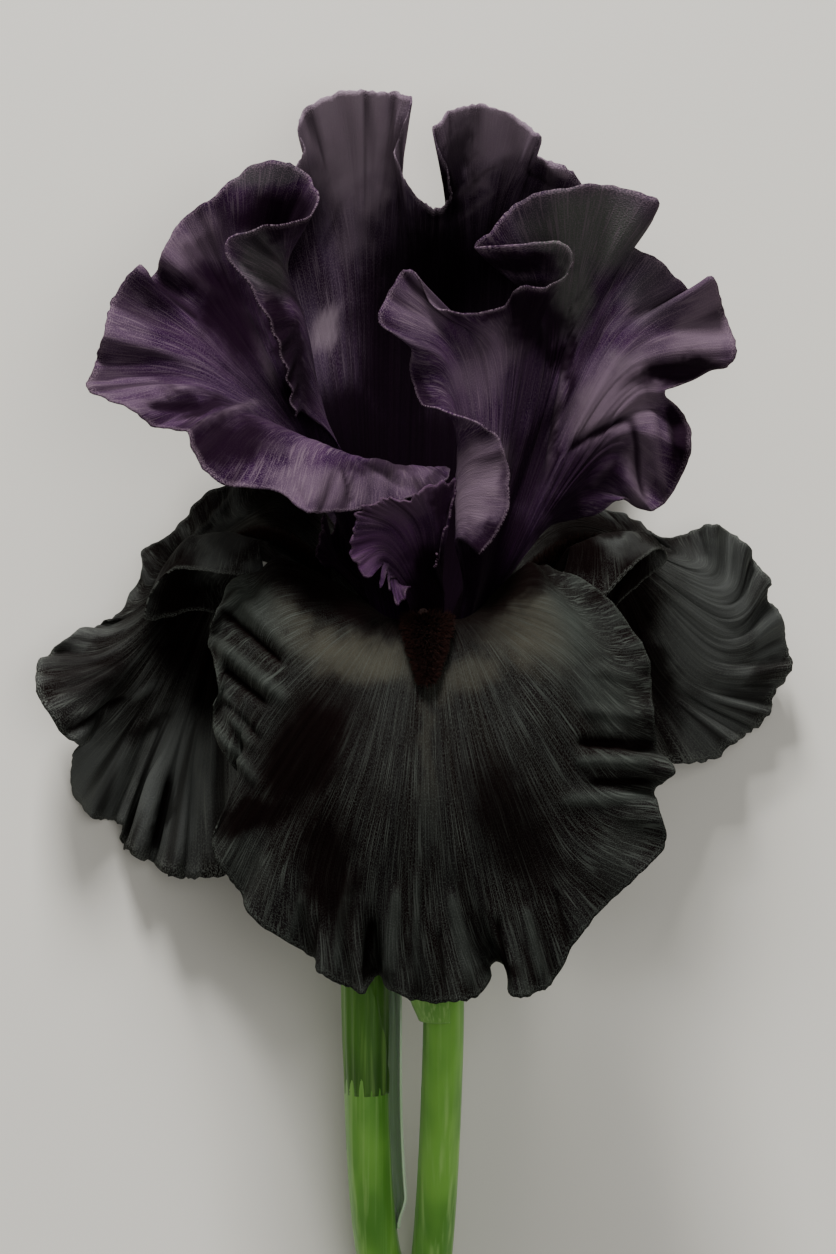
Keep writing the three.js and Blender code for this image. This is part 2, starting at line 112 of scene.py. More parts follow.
def add(tree, kind, inputs=None, **settings):
    """Adds one node; an input is given a value, or a socket to be linked from."""
    made = tree.nodes.new(kind)
    for name, value in settings.items():
        setattr(made, name, value)
    for name, value in (inputs or {}).items():
        if isinstance(value, bpy.types.NodeSocket):
            tree.links.new(value, made.inputs[name])
        else:
            made.inputs[name].default_value = value
    return made


def new_finish(name, **principled):
    """An empty material with a Principled shader, and its tree and shader."""
    material = bpy.data.materials.new(name)
    material.use_nodes = True
    tree = material.node_tree
    shader = tree.nodes["Principled BSDF"]
    for socket, value in principled.items():
        shader.inputs[socket.replace("_", " ")].default_value = value
    return material, tree, shader


def map_parts(tree, name):
    """The two values that a UV map holds, as two sockets."""
    here = add(tree, "ShaderNodeUVMap", uv_map=name).outputs[0]
    return add(tree, "ShaderNodeSeparateXYZ", {0: here}).outputs


def mixed(tree, share, low, high):
    """The colour output of a mix of two colours, each given as a hex value or a socket."""
    low = linear(low) if isinstance(low, str) else low
    high = linear(high) if isinstance(high, str) else high
    return add(tree, "ShaderNodeMix", {0: share, 6: low, 7: high}, data_type="RGBA").outputs[2]


def ranged(tree, value, low, high, to_low=0.0, to_high=1.0):
    """The value brought smoothly from one range to another."""
    inputs = {0: value, 1: low, 2: high, 3: to_low, 4: to_high}
    return add(tree, "ShaderNodeMapRange", inputs, interpolation_type="SMOOTHSTEP").outputs[0]


def product(tree, first, second):
    return add(tree, "ShaderNodeMath", {0: first, 1: second}, operation="MULTIPLY").outputs[0]


def stretched_noise(tree, place, size, detail=2.0, distortion=0.0, tilt=0.0):
    """Noise whose grains have the given sizes, in the unit of the place they are read from."""
    setting = {"Vector": place, "Rotation": (tilt, 0.0, 0.0), "Scale": size}
    mapped = add(tree, "ShaderNodeMapping", setting, vector_type="TEXTURE").outputs[0]
    grains = {"Vector": mapped, "Scale": 1.0, "Detail": detail, "Distortion": distortion}
    return add(tree, "ShaderNodeTexNoise", grains).outputs[0]


print("helpers ready; black velvet turns to", [round(c, 4) for c in linear("#151012")])

# %% [markdown]
# ## Table and light
# A plain pale table and large soft lamps. The flower's light falls from above its head, as daylight
# does on a standing flower, so the main lamp stands low beyond the top of the bloom.

# %% Table and lamps
TABLE_SIDE = 14
STUDIO_STRENGTH = 0.33
bpy.ops.mesh.primitive_plane_add(size=TABLE_SIDE)
table = bpy.context.object
table.name = "table"
# Matt paper gives the eye a quiet pale ground with no shine.
paper, _, paper_shader = new_finish("matt_pale_paper", Roughness=0.9)
paper_shader.inputs["Base Color"].default_value = linear("#e3dfd6")
table.data.materials.append(paper)

world = bpy.data.worlds.new("studio")
world.use_nodes = True
background = world.node_tree.nodes["Background"]
background.inputs["Color"].default_value = linear("#e8e8e4")
background.inputs["Strength"].default_value = STUDIO_STRENGTH
bpy.context.scene.world = world


def lamp(name, size, power, place, target):
    data = bpy.data.lights.new(name, "AREA")
    data.size = size
    data.energy = power
    lit = bpy.data.objects.new(name, data)
    lit.location = place
    lit.rotation_euler = (Vector(target) - Vector(place)).to_track_quat("-Z", "Y").to_euler()
    bpy.context.scene.collection.objects.link(lit)


lamp("sky", size=0.32, power=31, place=(-0.16, 1.2, 0.6), target=(0, 0.02, 0.02))
lamp("front_fill", size=0.8, power=6.5, place=(0.35, 0.1, 1.5), target=(0, 0, 0.02))

# %% [markdown]
# ## How a petal is drawn
# A petal is a thin skin that fans out from a narrow claw to a ruffled edge. It could be sculpted,
# or modelled as a loft: a few smooth rings of points, from the claw to the margin, with a smooth
# curve run through them outwards. The loft is chosen because its lines from claw to margin are the
# lines in which the veins and hairs of a real petal run, and the finish can follow them.

# %% Smooth curves and lofts


def spline(points, share):
    """The point at a share from 0 to 1 of a smooth curve through evenly spaced points."""
    last = len(points) - 1
    place = min(max(share, 0.0), 1.0) * last
    i = min(int(place), last - 1)
    t = place - i
    b, c = points[i], points[i + 1]
    a = points[i - 1] if i > 0 else b * 2 - c
    d = points[i + 2] if i + 2 <= last else c * 2 - b
    slope_b = (c - a) * 0.5
    slope_c = (d - b) * 0.5
    t2 = t * t
    t3 = t2 * t
    leaving = b * (2 * t3 - 3 * t2 + 1) + slope_b * (t3 - 2 * t2 + t)
    return leaving + c * (3 * t2 - 2 * t3) + slope_c * (t3 - t2)


class Surface:
    """Any surface: u runs across it and v along it, both from 0 to 1, and points are in millimetres."""

    def __init__(self, point_at):
        self.point_at = point_at

    def __call__(self, u, v):
        return self.point_at(min(max(u, 0.0), 1.0), min(max(v, 0.0), 1.0))

    def normal(self, u, v, step=0.004):
        across = self(u + step, v) - self(u - step, v)
        along = self(u, v + step) - self(u, v - step)
        return across.cross(along).normalized()

    def width(self, v=1.0, stops=200):
        places = [self(i / stops, v) for i in range(stops + 1)]
        return sum((b - a).length for a, b in zip(places, places[1:]))

    def length(self, u=0.5, stops=60):
        places = [self(u, i / stops) for i in range(stops + 1)]
        return sum((b - a).length for a, b in zip(places, places[1:]))


def loft(rings):
    """A surface through rings of points, from the first ring to the last."""
    rings = [[Vector(point) for point in ring] for ring in rings]
    columns = {}

    def point_at(u, v):
        if u not in columns:
            columns[u] = [spline(ring, u) for ring in rings]
        return spline(columns[u], v)

    return Surface(point_at)


CLAW_RADIUS = 5.2
CLAW_HALF_ANGLE = 22
CLAW_SEAT = 0.45
FRONT_SIDE, RIGHT_BACK, LEFT_BACK = 0, 120, -120
RIGHT_FRONT, LEFT_FRONT, BACK = 60, -60, 180


def claw(angle, turn):
    return [around(angle + turn * k * CLAW_HALF_ANGLE, CLAW_RADIUS, CLAW_SEAT) for k in (-1, 0, 1)]


print("claws stand", CLAW_RADIUS, "mm from the axis")

# %% [markdown]
# ## From a surface to a skin
# A grid is made with one operator, and each of its corners is moved to its place on the surface. Real
# petals are never smooth: the edge is crimped and nibbled like crêpe, fine ridges follow the veins, and
# here and there the skin folds. Folds and painted ovals are marks at places in the front view, in
# millimetres: a fold is a ridge or a groove along a line, and an oval is painted shade or painted
# light. Grooves and ridges are painted with shade and light as well. Four UV maps are kept: one says
# how far across and along the petal a place is, as shares, one says it in millimetres, one holds how
# much painted shade and painted light a place has, and one says where the painted light is grey-green.

# %% Relief, painted shade and painted light
MAPS = ("share", "grain", "painted_shade_and_light", "moss")
# Waves that start from this u cover the whole edge.
ALL_ROUND = -1
# Waves wander by up to this share of a wave, and their depth goes up and down along the edge.
WAVE_WOBBLE = 0.6
WAVE_EVEN, WAVE_UNEVEN = 0.6, 0.8
# A fold fades in and out over these shares of its length, and past three half widths it is gone.
FOLD_START, FOLD_END = (-0.15, 0.15), (-0.15, 0.25)
FOLD_WIDTHS = 3
# A painted oval of shade or light is whole up to its core and gone at its rim, both as shares of the oval.
OVAL_CORE, OVAL_RIM = 0.45, 1.35
# Nibbles lie this far apart and bite only the outer part of a petal; crumples spare its claw.
NIBBLE_MM, NIBBLED_PART = 1.3, (0.7, 1.0)
CREASE_MM, CREASED_PART = 1.7, (0.15, 0.6)
# Noise pushes every painted oval out of its shape by up to about this many millimetres.
BROAD_SWAY, FINE_SWAY = 1.6, 0.7
# One seed for that noise lets every run paint the same ovals.
SWAY_SEED = 1795457773
noise.seed_set(SWAY_SEED)
# Grooves are painted with shade, and folds and ripples with light, between these heights in millimetres, up
# to these shares.
GROOVE_PAINTED_SHADE, FOLD_PAINTED_LIGHT, RIPPLE_PAINTED_RANGE = (0.15, 0.9), (0.1, 0.7), (0.04, 0.3)
FOLD_PAINTED_LIGHT_SHARE, RIPPLE_PAINTED_SHADE_SHARE, RIPPLE_PAINTED_LIGHT_SHARE = 0.6, 0.7, 0.45
SAME_PLACE = 0.02 * MM
PETAL_SKIN = 0.3


def eased(value, low, high):
    t = min(max((value - low) / (high - low), 0.0), 1.0)
    return t * t * (3 - 2 * t)


def waved(u, v, waves, seed):
    """The height in millimetres of a set of waves: each has a count, a depth, the v at which it
    starts along the petal, and the u from which it covers the edge."""
    height = 0.0
    for count, depth, start, from_u in waves:
        window = eased(u, from_u - 0.02, from_u + 0.02)
        wobble = WAVE_WOBBLE * noise.noise(Vector((u * count * 0.4, v * 2, seed + count)))
        strength = WAVE_EVEN + WAVE_UNEVEN * noise.noise(Vector((u * count * 0.23, 5.5, seed - count)))
        phase = 2 * math.pi * (count * u + wobble)
        height += window * strength * depth * eased(v, start, 1.0) * math.sin(phase)
    return height


def folded(x, y, folds):
    """The height of folds, each (x1, y1, x2, y2, half width, height), all in millimetres."""
    height = 0.0
    for x1, y1, x2, y2, reach, rise in folds:
        run_x, run_y = x2 - x1, y2 - y1
        share = ((x - x1) * run_x + (y - y1) * run_y) / (run_x * run_x + run_y * run_y)
        held = min(max(share, 0.0), 1.0)
        away = math.hypot(x - x1 - held * run_x, y - y1 - held * run_y) / reach
        if away < FOLD_WIDTHS:
            ends = eased(share, *FOLD_START) * eased(1 - share, *FOLD_END)
            height += rise * math.exp(-away * away) * ends
    return height


def painted_oval_cover(x, y, stains):
    """How much painted ovals of shade or light cover a place; each is (x, y, half length, half width, turn,
    strength).
    """
    cover = 0.0
    for at_x, at_y, half_length, half_width, turn, strength in stains:
        c, s = math.cos(math.radians(turn)), math.sin(math.radians(turn))
        along = ((x - at_x) * c + (y - at_y) * s) / half_length
        over = ((y - at_y) * c - (x - at_x) * s) / half_width
        cover = max(cover, strength * (1 - eased(math.hypot(along, over), OVAL_CORE, OVAL_RIM)))
    return cover


def new_object(name, bm, material):
    mesh = bpy.data.meshes.new(name)
    bm.to_mesh(mesh)
    bm.free()
    for polygon in mesh.polygons:
        polygon.use_smooth = True
    mesh.materials.append(material)
    made = bpy.data.objects.new(name, mesh)
    bpy.context.scene.collection.objects.link(made)
    return made


def finish_piece(piece, node):
    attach(piece, "root")
    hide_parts(node)
    print(piece.name, "corners:", len(piece.data.vertices), "in place of", node)


def lay_grid(bm, surface, across, along, waves=(), crease=0.0, nibble=0.0, slits=(), folds=(), deep=(),
             pale=(), mossy=(), seed=0.0):
    """Lays a grid on a surface inside bm, with its relief, its painted shade and painted light, and its
    maps.
    """
    maps = [bm.loops.layers.uv.get(n) or bm.loops.layers.uv.new(n) for n in MAPS]
    made = bmesh.ops.create_grid(bm, x_segments=across, y_segments=along, size=0.5)["verts"]
    width, length = surface.width(), surface.length()
    to_viewer = 1 if surface.normal(0.5, 0.7).z > 0 else -1
    values = {}
    for vert in made:
        u, v = vert.co.x + 0.5, vert.co.y + 0.5
        ragged = nibble * (0.5 + 0.5 * noise.noise(Vector((u * width / NIBBLE_MM, 2.7, seed))))
        for place, reach, depth in slits:
            ragged += depth * math.exp(-(((u - place) / reach) ** 2))
        inner = v * (1 - ragged * eased(v, *NIBBLED_PART))
        at = surface(u, inner)
        rise = folded(at.x, at.y, folds)
        crumple = noise.noise(Vector((u * width / CREASE_MM, v * 2.4, seed)))
        ripple = waved(u, v, waves, seed) + crease * crumple * eased(v, *CREASED_PART)
        sway = noise.noise_vector(at * 0.3) * BROAD_SWAY + noise.noise_vector(at * 1.1) * FINE_SWAY
        # Painted shade: the deep ovals, the grooves of folds and the troughs of ripples.
        dark = max(painted_oval_cover(at.x + sway.x, at.y + sway.y, deep), eased(-rise, *GROOVE_PAINTED_SHADE))
        dark = max(dark, RIPPLE_PAINTED_SHADE_SHARE * eased(-ripple, *RIPPLE_PAINTED_RANGE))
        # Painted light: the pale ovals, the crests of folds and the crests of ripples.
        light = max(painted_oval_cover(at.x + sway.x, at.y + sway.y, pale), FOLD_PAINTED_LIGHT_SHARE * eased(rise, *FOLD_PAINTED_LIGHT))
        light = max(light, RIPPLE_PAINTED_LIGHT_SHARE * eased(ripple, *RIPPLE_PAINTED_RANGE))
        # Where the painted light is grey-green.
        moss = painted_oval_cover(at.x, at.y, mossy)
        values[vert] = ((u, v), (u * width, v * length), (dark, light), (moss, 0.0))
        vert.co = placed(at + surface.normal(u, inner) * to_viewer * (rise + ripple))
    for face in {face for vert in made for face in vert.link_faces}:
        for loop in face.loops:
            for layer, value in zip(maps, values[loop.vert]):
                loop[layer].uv = value


def skin(name, surface, across, along, thickness_mm, material, **relief):
    """A petal: its grid laid on the surface, given its relief, and thickened both ways."""
    bm = bmesh.new()
    lay_grid(bm, surface, across, along, **relief)
    bmesh.ops.recalc_face_normals(bm, faces=bm.faces)
    made = new_object(name, bm, material)
    wall = made.modifiers.new("thickness", "SOLIDIFY")
    wall.thickness = thickness_mm * MM
    wall.offset = 0
    return made


def wrapped(name, surface, across, along, material):
    """A closed body: a grid laid right round it, its two side edges merged and its ends drawn shut."""
    bm = bmesh.new()
    lay_grid(bm, surface, across, along)
    bmesh.ops.remove_doubles(bm, verts=bm.verts, dist=SAME_PLACE)
    bmesh.ops.recalc_face_normals(bm, faces=bm.faces)
    return new_object(name, bm, material)


def grow_petal(node, slot, surface, across, along, material, **relief):
    petal = skin(node + "_petal", surface, across, along, PETAL_SKIN, material, **relief)
    finish_piece(petal, node)


print("petals are", PETAL_SKIN, "mm thick")

# %% [markdown]
# ## Velvet and silk
# The falls of a black iris are covered with tiny raised cells that swallow light, like velvet. Face
# on they are nearly black with a breath of brown, at a grazing angle they turn pale grey-green, and
# fine hair-like fibres run from the beard to the edge. The standards are thinner and silkier, dark
# purple with a mauve-grey sheen, which turns grey-green where they curl over. A faint sheen gives
# the velvet, and the grey-green and mauve-grey where light grazes are painted light. Noise stretched
# along the millimetre map gives fibres and veins, the painted map lays painted shade in hollows and
# painted light on the folds that stand proud, a painted highlight runs along the margin, and towards
# the heart every petal turns brown or near black, partly its own dark haft and partly painted shade.

# %% Petal finishes
FIBRE_SIZE = (0.34, 9.0, 1.0)
TUFT_SIZE = (1.1, 14.0, 1.0)
CLOUD_SIZE = (8.0, 22.0, 1.0)
VEIN_SIZE = (2.6, 30.0, 1.0)
# The grey-green of the painted light where the standards curl over.
GREY_GREEN_PAINTED_LIGHT = "#474945"
# Painted light turns from its brow colour to its pale colour over this share along the petal.
BROW_END = (0.42, 0.62)
# A painted highlight runs along the margin over this share along the petal.
RIM_HIGHLIGHT = (0.972, 0.995)
CELL_SHARE = 0.42
# Painted shade covers the colour up to this share.
PAINTED_SHADE_SHARE = 0.95
# The painted highlight on the margin reaches up to this share.
RIM_HIGHLIGHT_SHARE = 0.7
# The hafts' own veined near black, which also stands for painted shade in the heart, the colour of painted
# shade, and the sheen's tint.
VELVET_HEART = {"haft": "#0a0303", "vein": "#1d0f0a", "painted_shade": "#070101", "sheen": "#9aa596"}


def petal_finish(name, colours, sheen, fibre_share, cell_mm, haft_reach):
    material, tree, shader = new_finish(
        name, Roughness=0.85, Sheen_Weight=sheen, Sheen_Roughness=0.35, Specular_IOR_Level=0.03
    )
    shader.inputs["Sheen Tint"].default_value = linear(colours["sheen"])
    along = map_parts(tree, "share")[1]
    painted_shade_share, painted_light_share, _ = map_parts(tree, "painted_shade_and_light")
    grey_green_share = map_parts(tree, "moss")[0]
    grain = add(tree, "ShaderNodeUVMap", uv_map="grain").outputs[0]

    fibres = stretched_noise(tree, grain, FIBRE_SIZE, 2.0, 0.3)
    tufts = ranged(tree, stretched_noise(tree, grain, TUFT_SIZE, 1.0, 0.4), 0.35, 0.65, 0.35, 1.0)
    cloud = ranged(tree, stretched_noise(tree, grain, CLOUD_SIZE), 0.35, 0.65)
    veins = ranged(tree, stretched_noise(tree, grain, VEIN_SIZE, 4.0, 0.8), 0.5, 0.6)
    cells = stretched_noise(tree, grain, (cell_mm, cell_mm, 1.0), 1.0)

    colour = mixed(tree, cloud, colours["deep"], colours["body"])
    # Painted light: brown-grey at the brow, paler further out, grey-green where marked.
    painted_light = mixed(tree, ranged(tree, along, *BROW_END), colours["brow"], colours["pale"])
    painted_light = mixed(tree, grey_green_share, painted_light, GREY_GREEN_PAINTED_LIGHT)
    colour = mixed(tree, painted_light_share, colour, painted_light)
    colour = mixed(tree, product(tree, ranged(tree, cells, 0.5, 0.64), CELL_SHARE), colour, colours["fibre"])
    streak = product(tree, product(tree, ranged(tree, fibres, 0.5, 0.62), tufts), fibre_share)
    colour = mixed(tree, streak, colour, colours["fibre"])
    # Towards the claw the petal turns to its haft's own dark veined colour, which also stands for painted
    # shade of the heart.
    haft = mixed(tree, veins, colours["haft"], colours["vein"])
    colour = mixed(tree, ranged(tree, along, haft_reach, haft_reach * 0.5), colour, haft)
    # Painted shade darkens hollows, grooves and cast shadows to near black.
    colour = mixed(tree, product(tree, painted_shade_share, PAINTED_SHADE_SHARE), colour, colours["painted_shade"])
    # A painted highlight along the margin.
    rim_highlight = product(tree, ranged(tree, along, *RIM_HIGHLIGHT), ranged(tree, cells, 0.45, 0.6, 0.0, RIM_HIGHLIGHT_SHARE))
    colour = mixed(tree, rim_highlight, colour, colours["fibre"])
    tree.links.new(colour, shader.inputs["Base Color"])

    ridges = add(tree, "ShaderNodeBump", {"Height": fibres, "Strength": 0.45, "Distance": 0.2 * MM})
    felt = {"Height": cells, "Strength": 0.8, "Distance": 0.12 * MM, "Normal": ridges.outputs[0]}
    tree.links.new(add(tree, "ShaderNodeBump", felt).outputs[0], shader.inputs["Normal"])
    return material


# Velvet gives the eye a black with no gloss; the grey-green breath where light grazes it is painted light.
black_velvet = petal_finish(
    "black_velvet_petal",
    {
        "deep": "#0b0304", "body": "#120e0f", "brow": "#3e3b32", "pale": "#333733", "fibre": "#454944",
        **VELVET_HEART,
    },
    sheen=0.03, fibre_share=0.7, cell_mm=0.3, haft_reach=0.24,
)
# The side falls hang away from the light, so this copy of the velvet is painted lighter: its body and its
# painted light are paler than the front fall's.
side_velvet_painted_light = petal_finish(
    "side_velvet_painted_light_petal",
    {
        "deep": "#100708", "body": "#1a1616", "brow": "#5a574e", "pale": "#505250", "fibre": "#595c57",
        **VELVET_HEART,
    },
    sheen=0.03, fibre_share=0.65, cell_mm=0.3, haft_reach=0.24,
)
# Silk gives the eye purple in its depths; the mauve-grey on its folds is painted light.
purple_silk = petal_finish(
    "purple_silk_petal",
    {
        "deep": "#22092a", "body": "#331a38", "brow": "#685b61", "pale": "#5d4d5a", "fibre": "#6b5b65",
        "haft": "#0e0211", "vein": "#24052a", "painted_shade": "#10030f", "sheen": "#a79aa8",
    },
    sheen=0.03, fibre_share=0.5, cell_mm=0.28, haft_reach=0.5,
)
# The rear standard is looked into, so this copy of the silk keeps painted shade near black almost to its
# lobes, and is painted lighter on the lobes.
rear_silk_painted_shade_and_light = petal_finish(
    "rear_silk_painted_shade_and_light_petal",
    {
        "deep": "#2c1530", "body": "#4b3850", "brow": "#7b6a74", "pale": "#8a7985", "fibre": "#8a7985",
        "haft": "#0c020c", "vein": "#1d0622", "painted_shade": "#0a0209", "sheen": "#a79aa8",
    },
    sheen=0.02, fibre_share=0.5, cell_mm=0.28, haft_reach=0.74,
)
print("finishes:", [m.name for m in (black_velvet, side_velvet_painted_light, purple_silk, rear_silk_painted_shade_and_light)])

# %% [markdown]
# ## The front fall
# The fall that faces the viewer rises from the heart, turns over its brow and hangs like an apron.
# Its rings are the haft, the blade halfway down, and the scalloped margin. The margin's points go
# down its left side, along the bottom and up its right side; their third number is depth, and its
# steps back and forth are the deep ruffles of the edge.

# %% Front fall
FALL_FRONT_RINGS = [
    [[-9, -3, 11], [-6, -5, 15], [0, -6, 18], [6, -5, 15], [9, -3, 11]],
    [
        [-23, 5, 12], [-23, -2, 17], [-20, -12, 21], [-16.5, -20, 23.5], [-11.5, -26, 25.5],
        [-6, -29.5, 26.8], [0, -30.5, 27], [6, -29.5, 26.8], [12, -26, 25.5], [16.5, -20, 23.5],
        [20.5, -12, 21], [20, -4, 18], [16, 4, 13],
    ],
    [
        [-28, 3, 10], [-30.5, -6, 13.5], [-29.5, -16, 16], [-28.5, -26, 17.5], [-26, -35.5, 18.5],
        [-21, -43.5, 20], [-14, -48.5, 21.5], [-7, -51.5, 22.5], [1, -52.5, 23], [8.5, -51.5, 22.5],
        [15.5, -48.5, 21.5], [22, -43, 20.5], [27.5, -35.5, 19.5], [30.5, -27, 18.5], [31.5, -18, 17.5],
        [28.5, -8.5, 16], [18.5, 4, 11.5],
    ],
    [
        [-32, 2, 8], [-35, -4, 12], [-36, -9, 9], [-34.5, -15, 13], [-35.5, -21, 10], [-33, -28, 13.5],
        [-29.5, -33, 10.5], [-34, -38, 14], [-35.5, -42, 13], [-34, -46, 14], [-31, -50, 13],
        [-28, -55, 17], [-20, -60, 15], [-18, -63, 19], [-13, -65.5, 18], [-10, -66.5, 21],
        [-8, -63.5, 12], [-5, -66.5, 20], [-0.5, -68, 18], [4, -67.8, 21], [8.5, -66.8, 20],
        [11.5, -61.5, 10], [14, -67, 20], [18, -66.5, 19], [21, -64.5, 17], [25, -57.5, 18],
        [30, -51.5, 16.5], [35, -47, 17], [39.5, -42, 14.5], [38.5, -36.5, 16.5], [37.5, -33, 10.5],
        [41, -30, 15.5], [38.5, -26.5, 9], [37.5, -21.5, 14.5], [37, -16, 13], [36.5, -11, 14],
        [33.5, -6, 13], [28.5, 0, 12], [20, 4, 9],
    ],
]
fall_front_surface = loft([claw(FRONT_SIDE, 1), *FALL_FRONT_RINGS])
FRONT_FOLDS = [
    (-32.2, 0, -21, -11, 1.3, 0.9), (-33.8, -3.6, -23.4, -12.4, 0.8, -1.2),
    (-35, -8.3, -22.6, -18.2, 1.2, 1.0), (-33.8, -12.9, -26.2, -19, 0.8, -1.2),
    (-34.8, -14.9, -28.4, -25.6, 1.1, 1.0), (-33.3, -18.2, -27.2, -25.1, 0.7, -1.1),
    (-35, -22.3, -27.2, -32.2, 0.9, 0.8), (25, -25, 38, -25.6, 1.1, -1.5), (24.4, -28, 37, -28.4, 1.1, 0.9),
    (27, -31.4, 37.6, -31.9, 0.9, -1.2), (22, -34.4, 38, -34.2, 1.4, 0.7), (27, -13, 36, -15, 1.0, 0.5),
    (25, -19.5, 36, -21, 1.0, 0.5), (-12.5, -47, -15.5, -64, 0.8, 0.8), (-5, -49, -6, -66, 0.9, 0.9),
    (-1.5, -46, -2, -66, 0.7, 0.6), (4, -50, 7, -66, 1.0, 0.9), (-9, -54, -10, -66, 0.8, -1.0),
    (2, -56, 2.6, -66, 0.6, -0.7), (11.5, -54, 13, -66, 0.9, -1.0), (16, -52, 18.5, -64, 0.8, 0.8),
    (-20, -50, -24, -60, 0.9, 0.6), (-18, -54, -19.5, -64, 0.7, -0.8), (21, -50, 24, -61, 0.7, -0.7),
    (9, -56, 10, -66, 0.6, 0.5),
]
# Painted shade: hollows in the blade and in the ruffles at its foot, and the shadow the standards cast over
# the haft.
FRONT_PAINTED_SHADE = [
    (-20, -27, 14, 7, 62, 1.0), (-16, -45, 12, 5, 100, 0.95), (14, -38, 14, 6, -65, 0.8),
    (0, -2, 17, 8, 0, 1.0), (-15, 1.5, 18, 7, -25, 1.0), (13, 1.5, 14, 6, 38, 1.0),
    (-8.3, -63, 2, 2.5, 90, 1.0), (12.3, -62, 2, 3.5, 90, 1.0), (-28, -37, 9, 3, 15, 1.0),
]
# Painted light: the lit brow on either side of the beard, and the pleats and edges where light grazes.
FRONT_PAINTED_LIGHT = [
    (18.5, -6, 11, 7, -25, 0.8), (-12, -11, 11, 4, -12, 0.85), (-23, -5, 9, 3, -42, 0.6),
    (7, -14, 7, 3, 30, 0.5), (29, -17, 8, 5, -60, 0.5), (-31, -2, 7, 3.5, -45, 0.7),
    (-30, -44, 8, 4, -60, 0.3), (32, -42, 8, 4, 60, 0.3), (0, -30, 14, 1.5, 90, 0.3),
    (-2, -62, 17, 2.5, 0, 0.15),
]
grow_petal(
    "fall_front", "fall", fall_front_surface, across=360, along=104, material=black_velvet,
    waves=[(44, 0.3, 0.75, ALL_ROUND)], crease=0.18, nibble=0.012, folds=FRONT_FOLDS, deep=FRONT_PAINTED_SHADE,
    pale=FRONT_PAINTED_LIGHT, seed=1.3,
)

# %% [markdown]
# ## The side falls
# The two falls behind turn away to the left and right. Each flares its near shoulder towards the
# viewer and folds back behind it into a deep shaded hollow, and its far half spreads out like a fan.

# %% Side falls
FALL_LEFT_RINGS = [
    [[-11, -7, 0], [-14, -2, -6], [-11, 4, -10.5]],
    [[-21, 1.5, 1], [-27, 6, -4], [-30, 7, -10], [-27, 12, -14], [-20, 16.5, -16]],
    [
        [-27, 8, 3], [-34, 9.5, 2], [-39.5, 7.5, -2], [-37, 3.5, -7], [-31, -1, -9], [-30, -8, -12],
        [-33, -15, -16], [-37, -20, -20], [-40, -21.5, -22], [-42.5, -21.5, -23], [-45, -20, -23.5],
        [-47.5, -18, -23.5], [-49.5, -15, -22], [-51, -12, -20], [-51, -8.5, -21], [-49, -4.5, -23.5],
        [-46, -0.5, -24.5], [-42, 4, -24], [-37, 8, -22], [-31.5, 12, -20], [-25, 17.5, -18],
    ],
    [
        [-27, 2, 3], [-33, 2.4, 5], [-39, 3.2, 3], [-43, 2.6, 0], [-47, -4.5, -5], [-44, -5, -9],
        [-38, -3.5, -9], [-32, -6, -8], [-28, -13, -8], [-26, -22, -8], [-26, -31, -9], [-28, -39, -12],
        [-32, -45, -15], [-35, -48.5, -21], [-40, -49, -26], [-44, -48.5, -24], [-46, -46.5, -31],
        [-50, -45, -28], [-52, -43, -34], [-51.5, -40, -30], [-54, -39, -35], [-57, -39, -30],
        [-60, -34, -34], [-60, -28, -30], [-57, -25.5, -27], [-60, -25.5, -20], [-65, -19, -18],
        [-66, -14, -23], [-64, -10.5, -26], [-60, -7.5, -24], [-56, -6, -29], [-53, -5, -26],
        [-50, -1, -30], [-48, 3, -27], [-48, 7, -29], [-44, 9, -26], [-41, 12, -27], [-38, 16, -24],
        [-33, 18, -22], [-30, 18, -20], [-27, 18.5, -19],
    ],
]
FALL_RIGHT_RINGS = [
    [[11, -7, 0], [14, -2, -6], [11.5, 3, -9.5]],
    [[19, 0.5, 1], [26, 6, -4], [29, 6, -10], [26, 10, -14], [19, 13.5, -15]],
    [
        [23.5, 7, 3], [31, 9.5, 2], [36, 8.5, -3], [33, 4, -7.5], [29.5, -1, -10], [30, -7, -14],
        [35, -12, -19], [40, -14.5, -22.5], [44.5, -14, -24.5], [48, -11, -25], [49.5, -7, -25],
        [49.5, -3, -24.5], [48, 1, -24.5], [44, 4.5, -23.5], [38, 7.5, -22], [32, 10, -20],
        [23, 14.5, -18],
    ],
    [
        [21.5, -1, 2.5], [28, -2, 4.5], [34.5, 4, 4], [38.5, 6.8, -1], [40, 5, -7], [35.5, 1, -9],
        [31, -3.5, -8], [29.5, -10, -8], [30, -18, -9], [33, -24, -12], [37, -28, -15], [42, -29.5, -21],
        [48, -29, -29], [52, -26, -27], [55, -24, -34], [58, -21, -30], [59.5, -16.5, -35],
        [62, -13, -28], [61, -9, -31], [60, -4, -25], [57.5, -1, -28], [58, 2, -23], [55.5, 5, -27],
        [54, 8, -23], [51, 10, -27], [48, 11.5, -23], [44, 10, -27], [40, 9, -23], [36, 11, -25],
        [33, 13, -22], [28, 14, -21], [24, 14.5, -20], [20, 15.5, -19],
    ],
]
fall_left_surface = loft([claw(LEFT_BACK, -1), *FALL_LEFT_RINGS])
SIDE_LEFT_FOLDS = [
    (-32, 16.5, -43, 4, 0.5, 0.6), (-43, 4, -46.5, -4, 0.5, 0.6), (-62, -25, -49, -17, 0.8, -0.9),
    (-50, -18, -44, -15, 0.9, 0.8), (-49, -44, -45, -28, 1.1, 0.9), (-46, -44, -43, -30, 0.9, -1.0),
    (-42, -46, -40, -30, 1.0, 0.8), (-36, -46, -37, -28, 1.6, 0.6), (-60, -14, -50, -14, 1.5, 0.4),
]
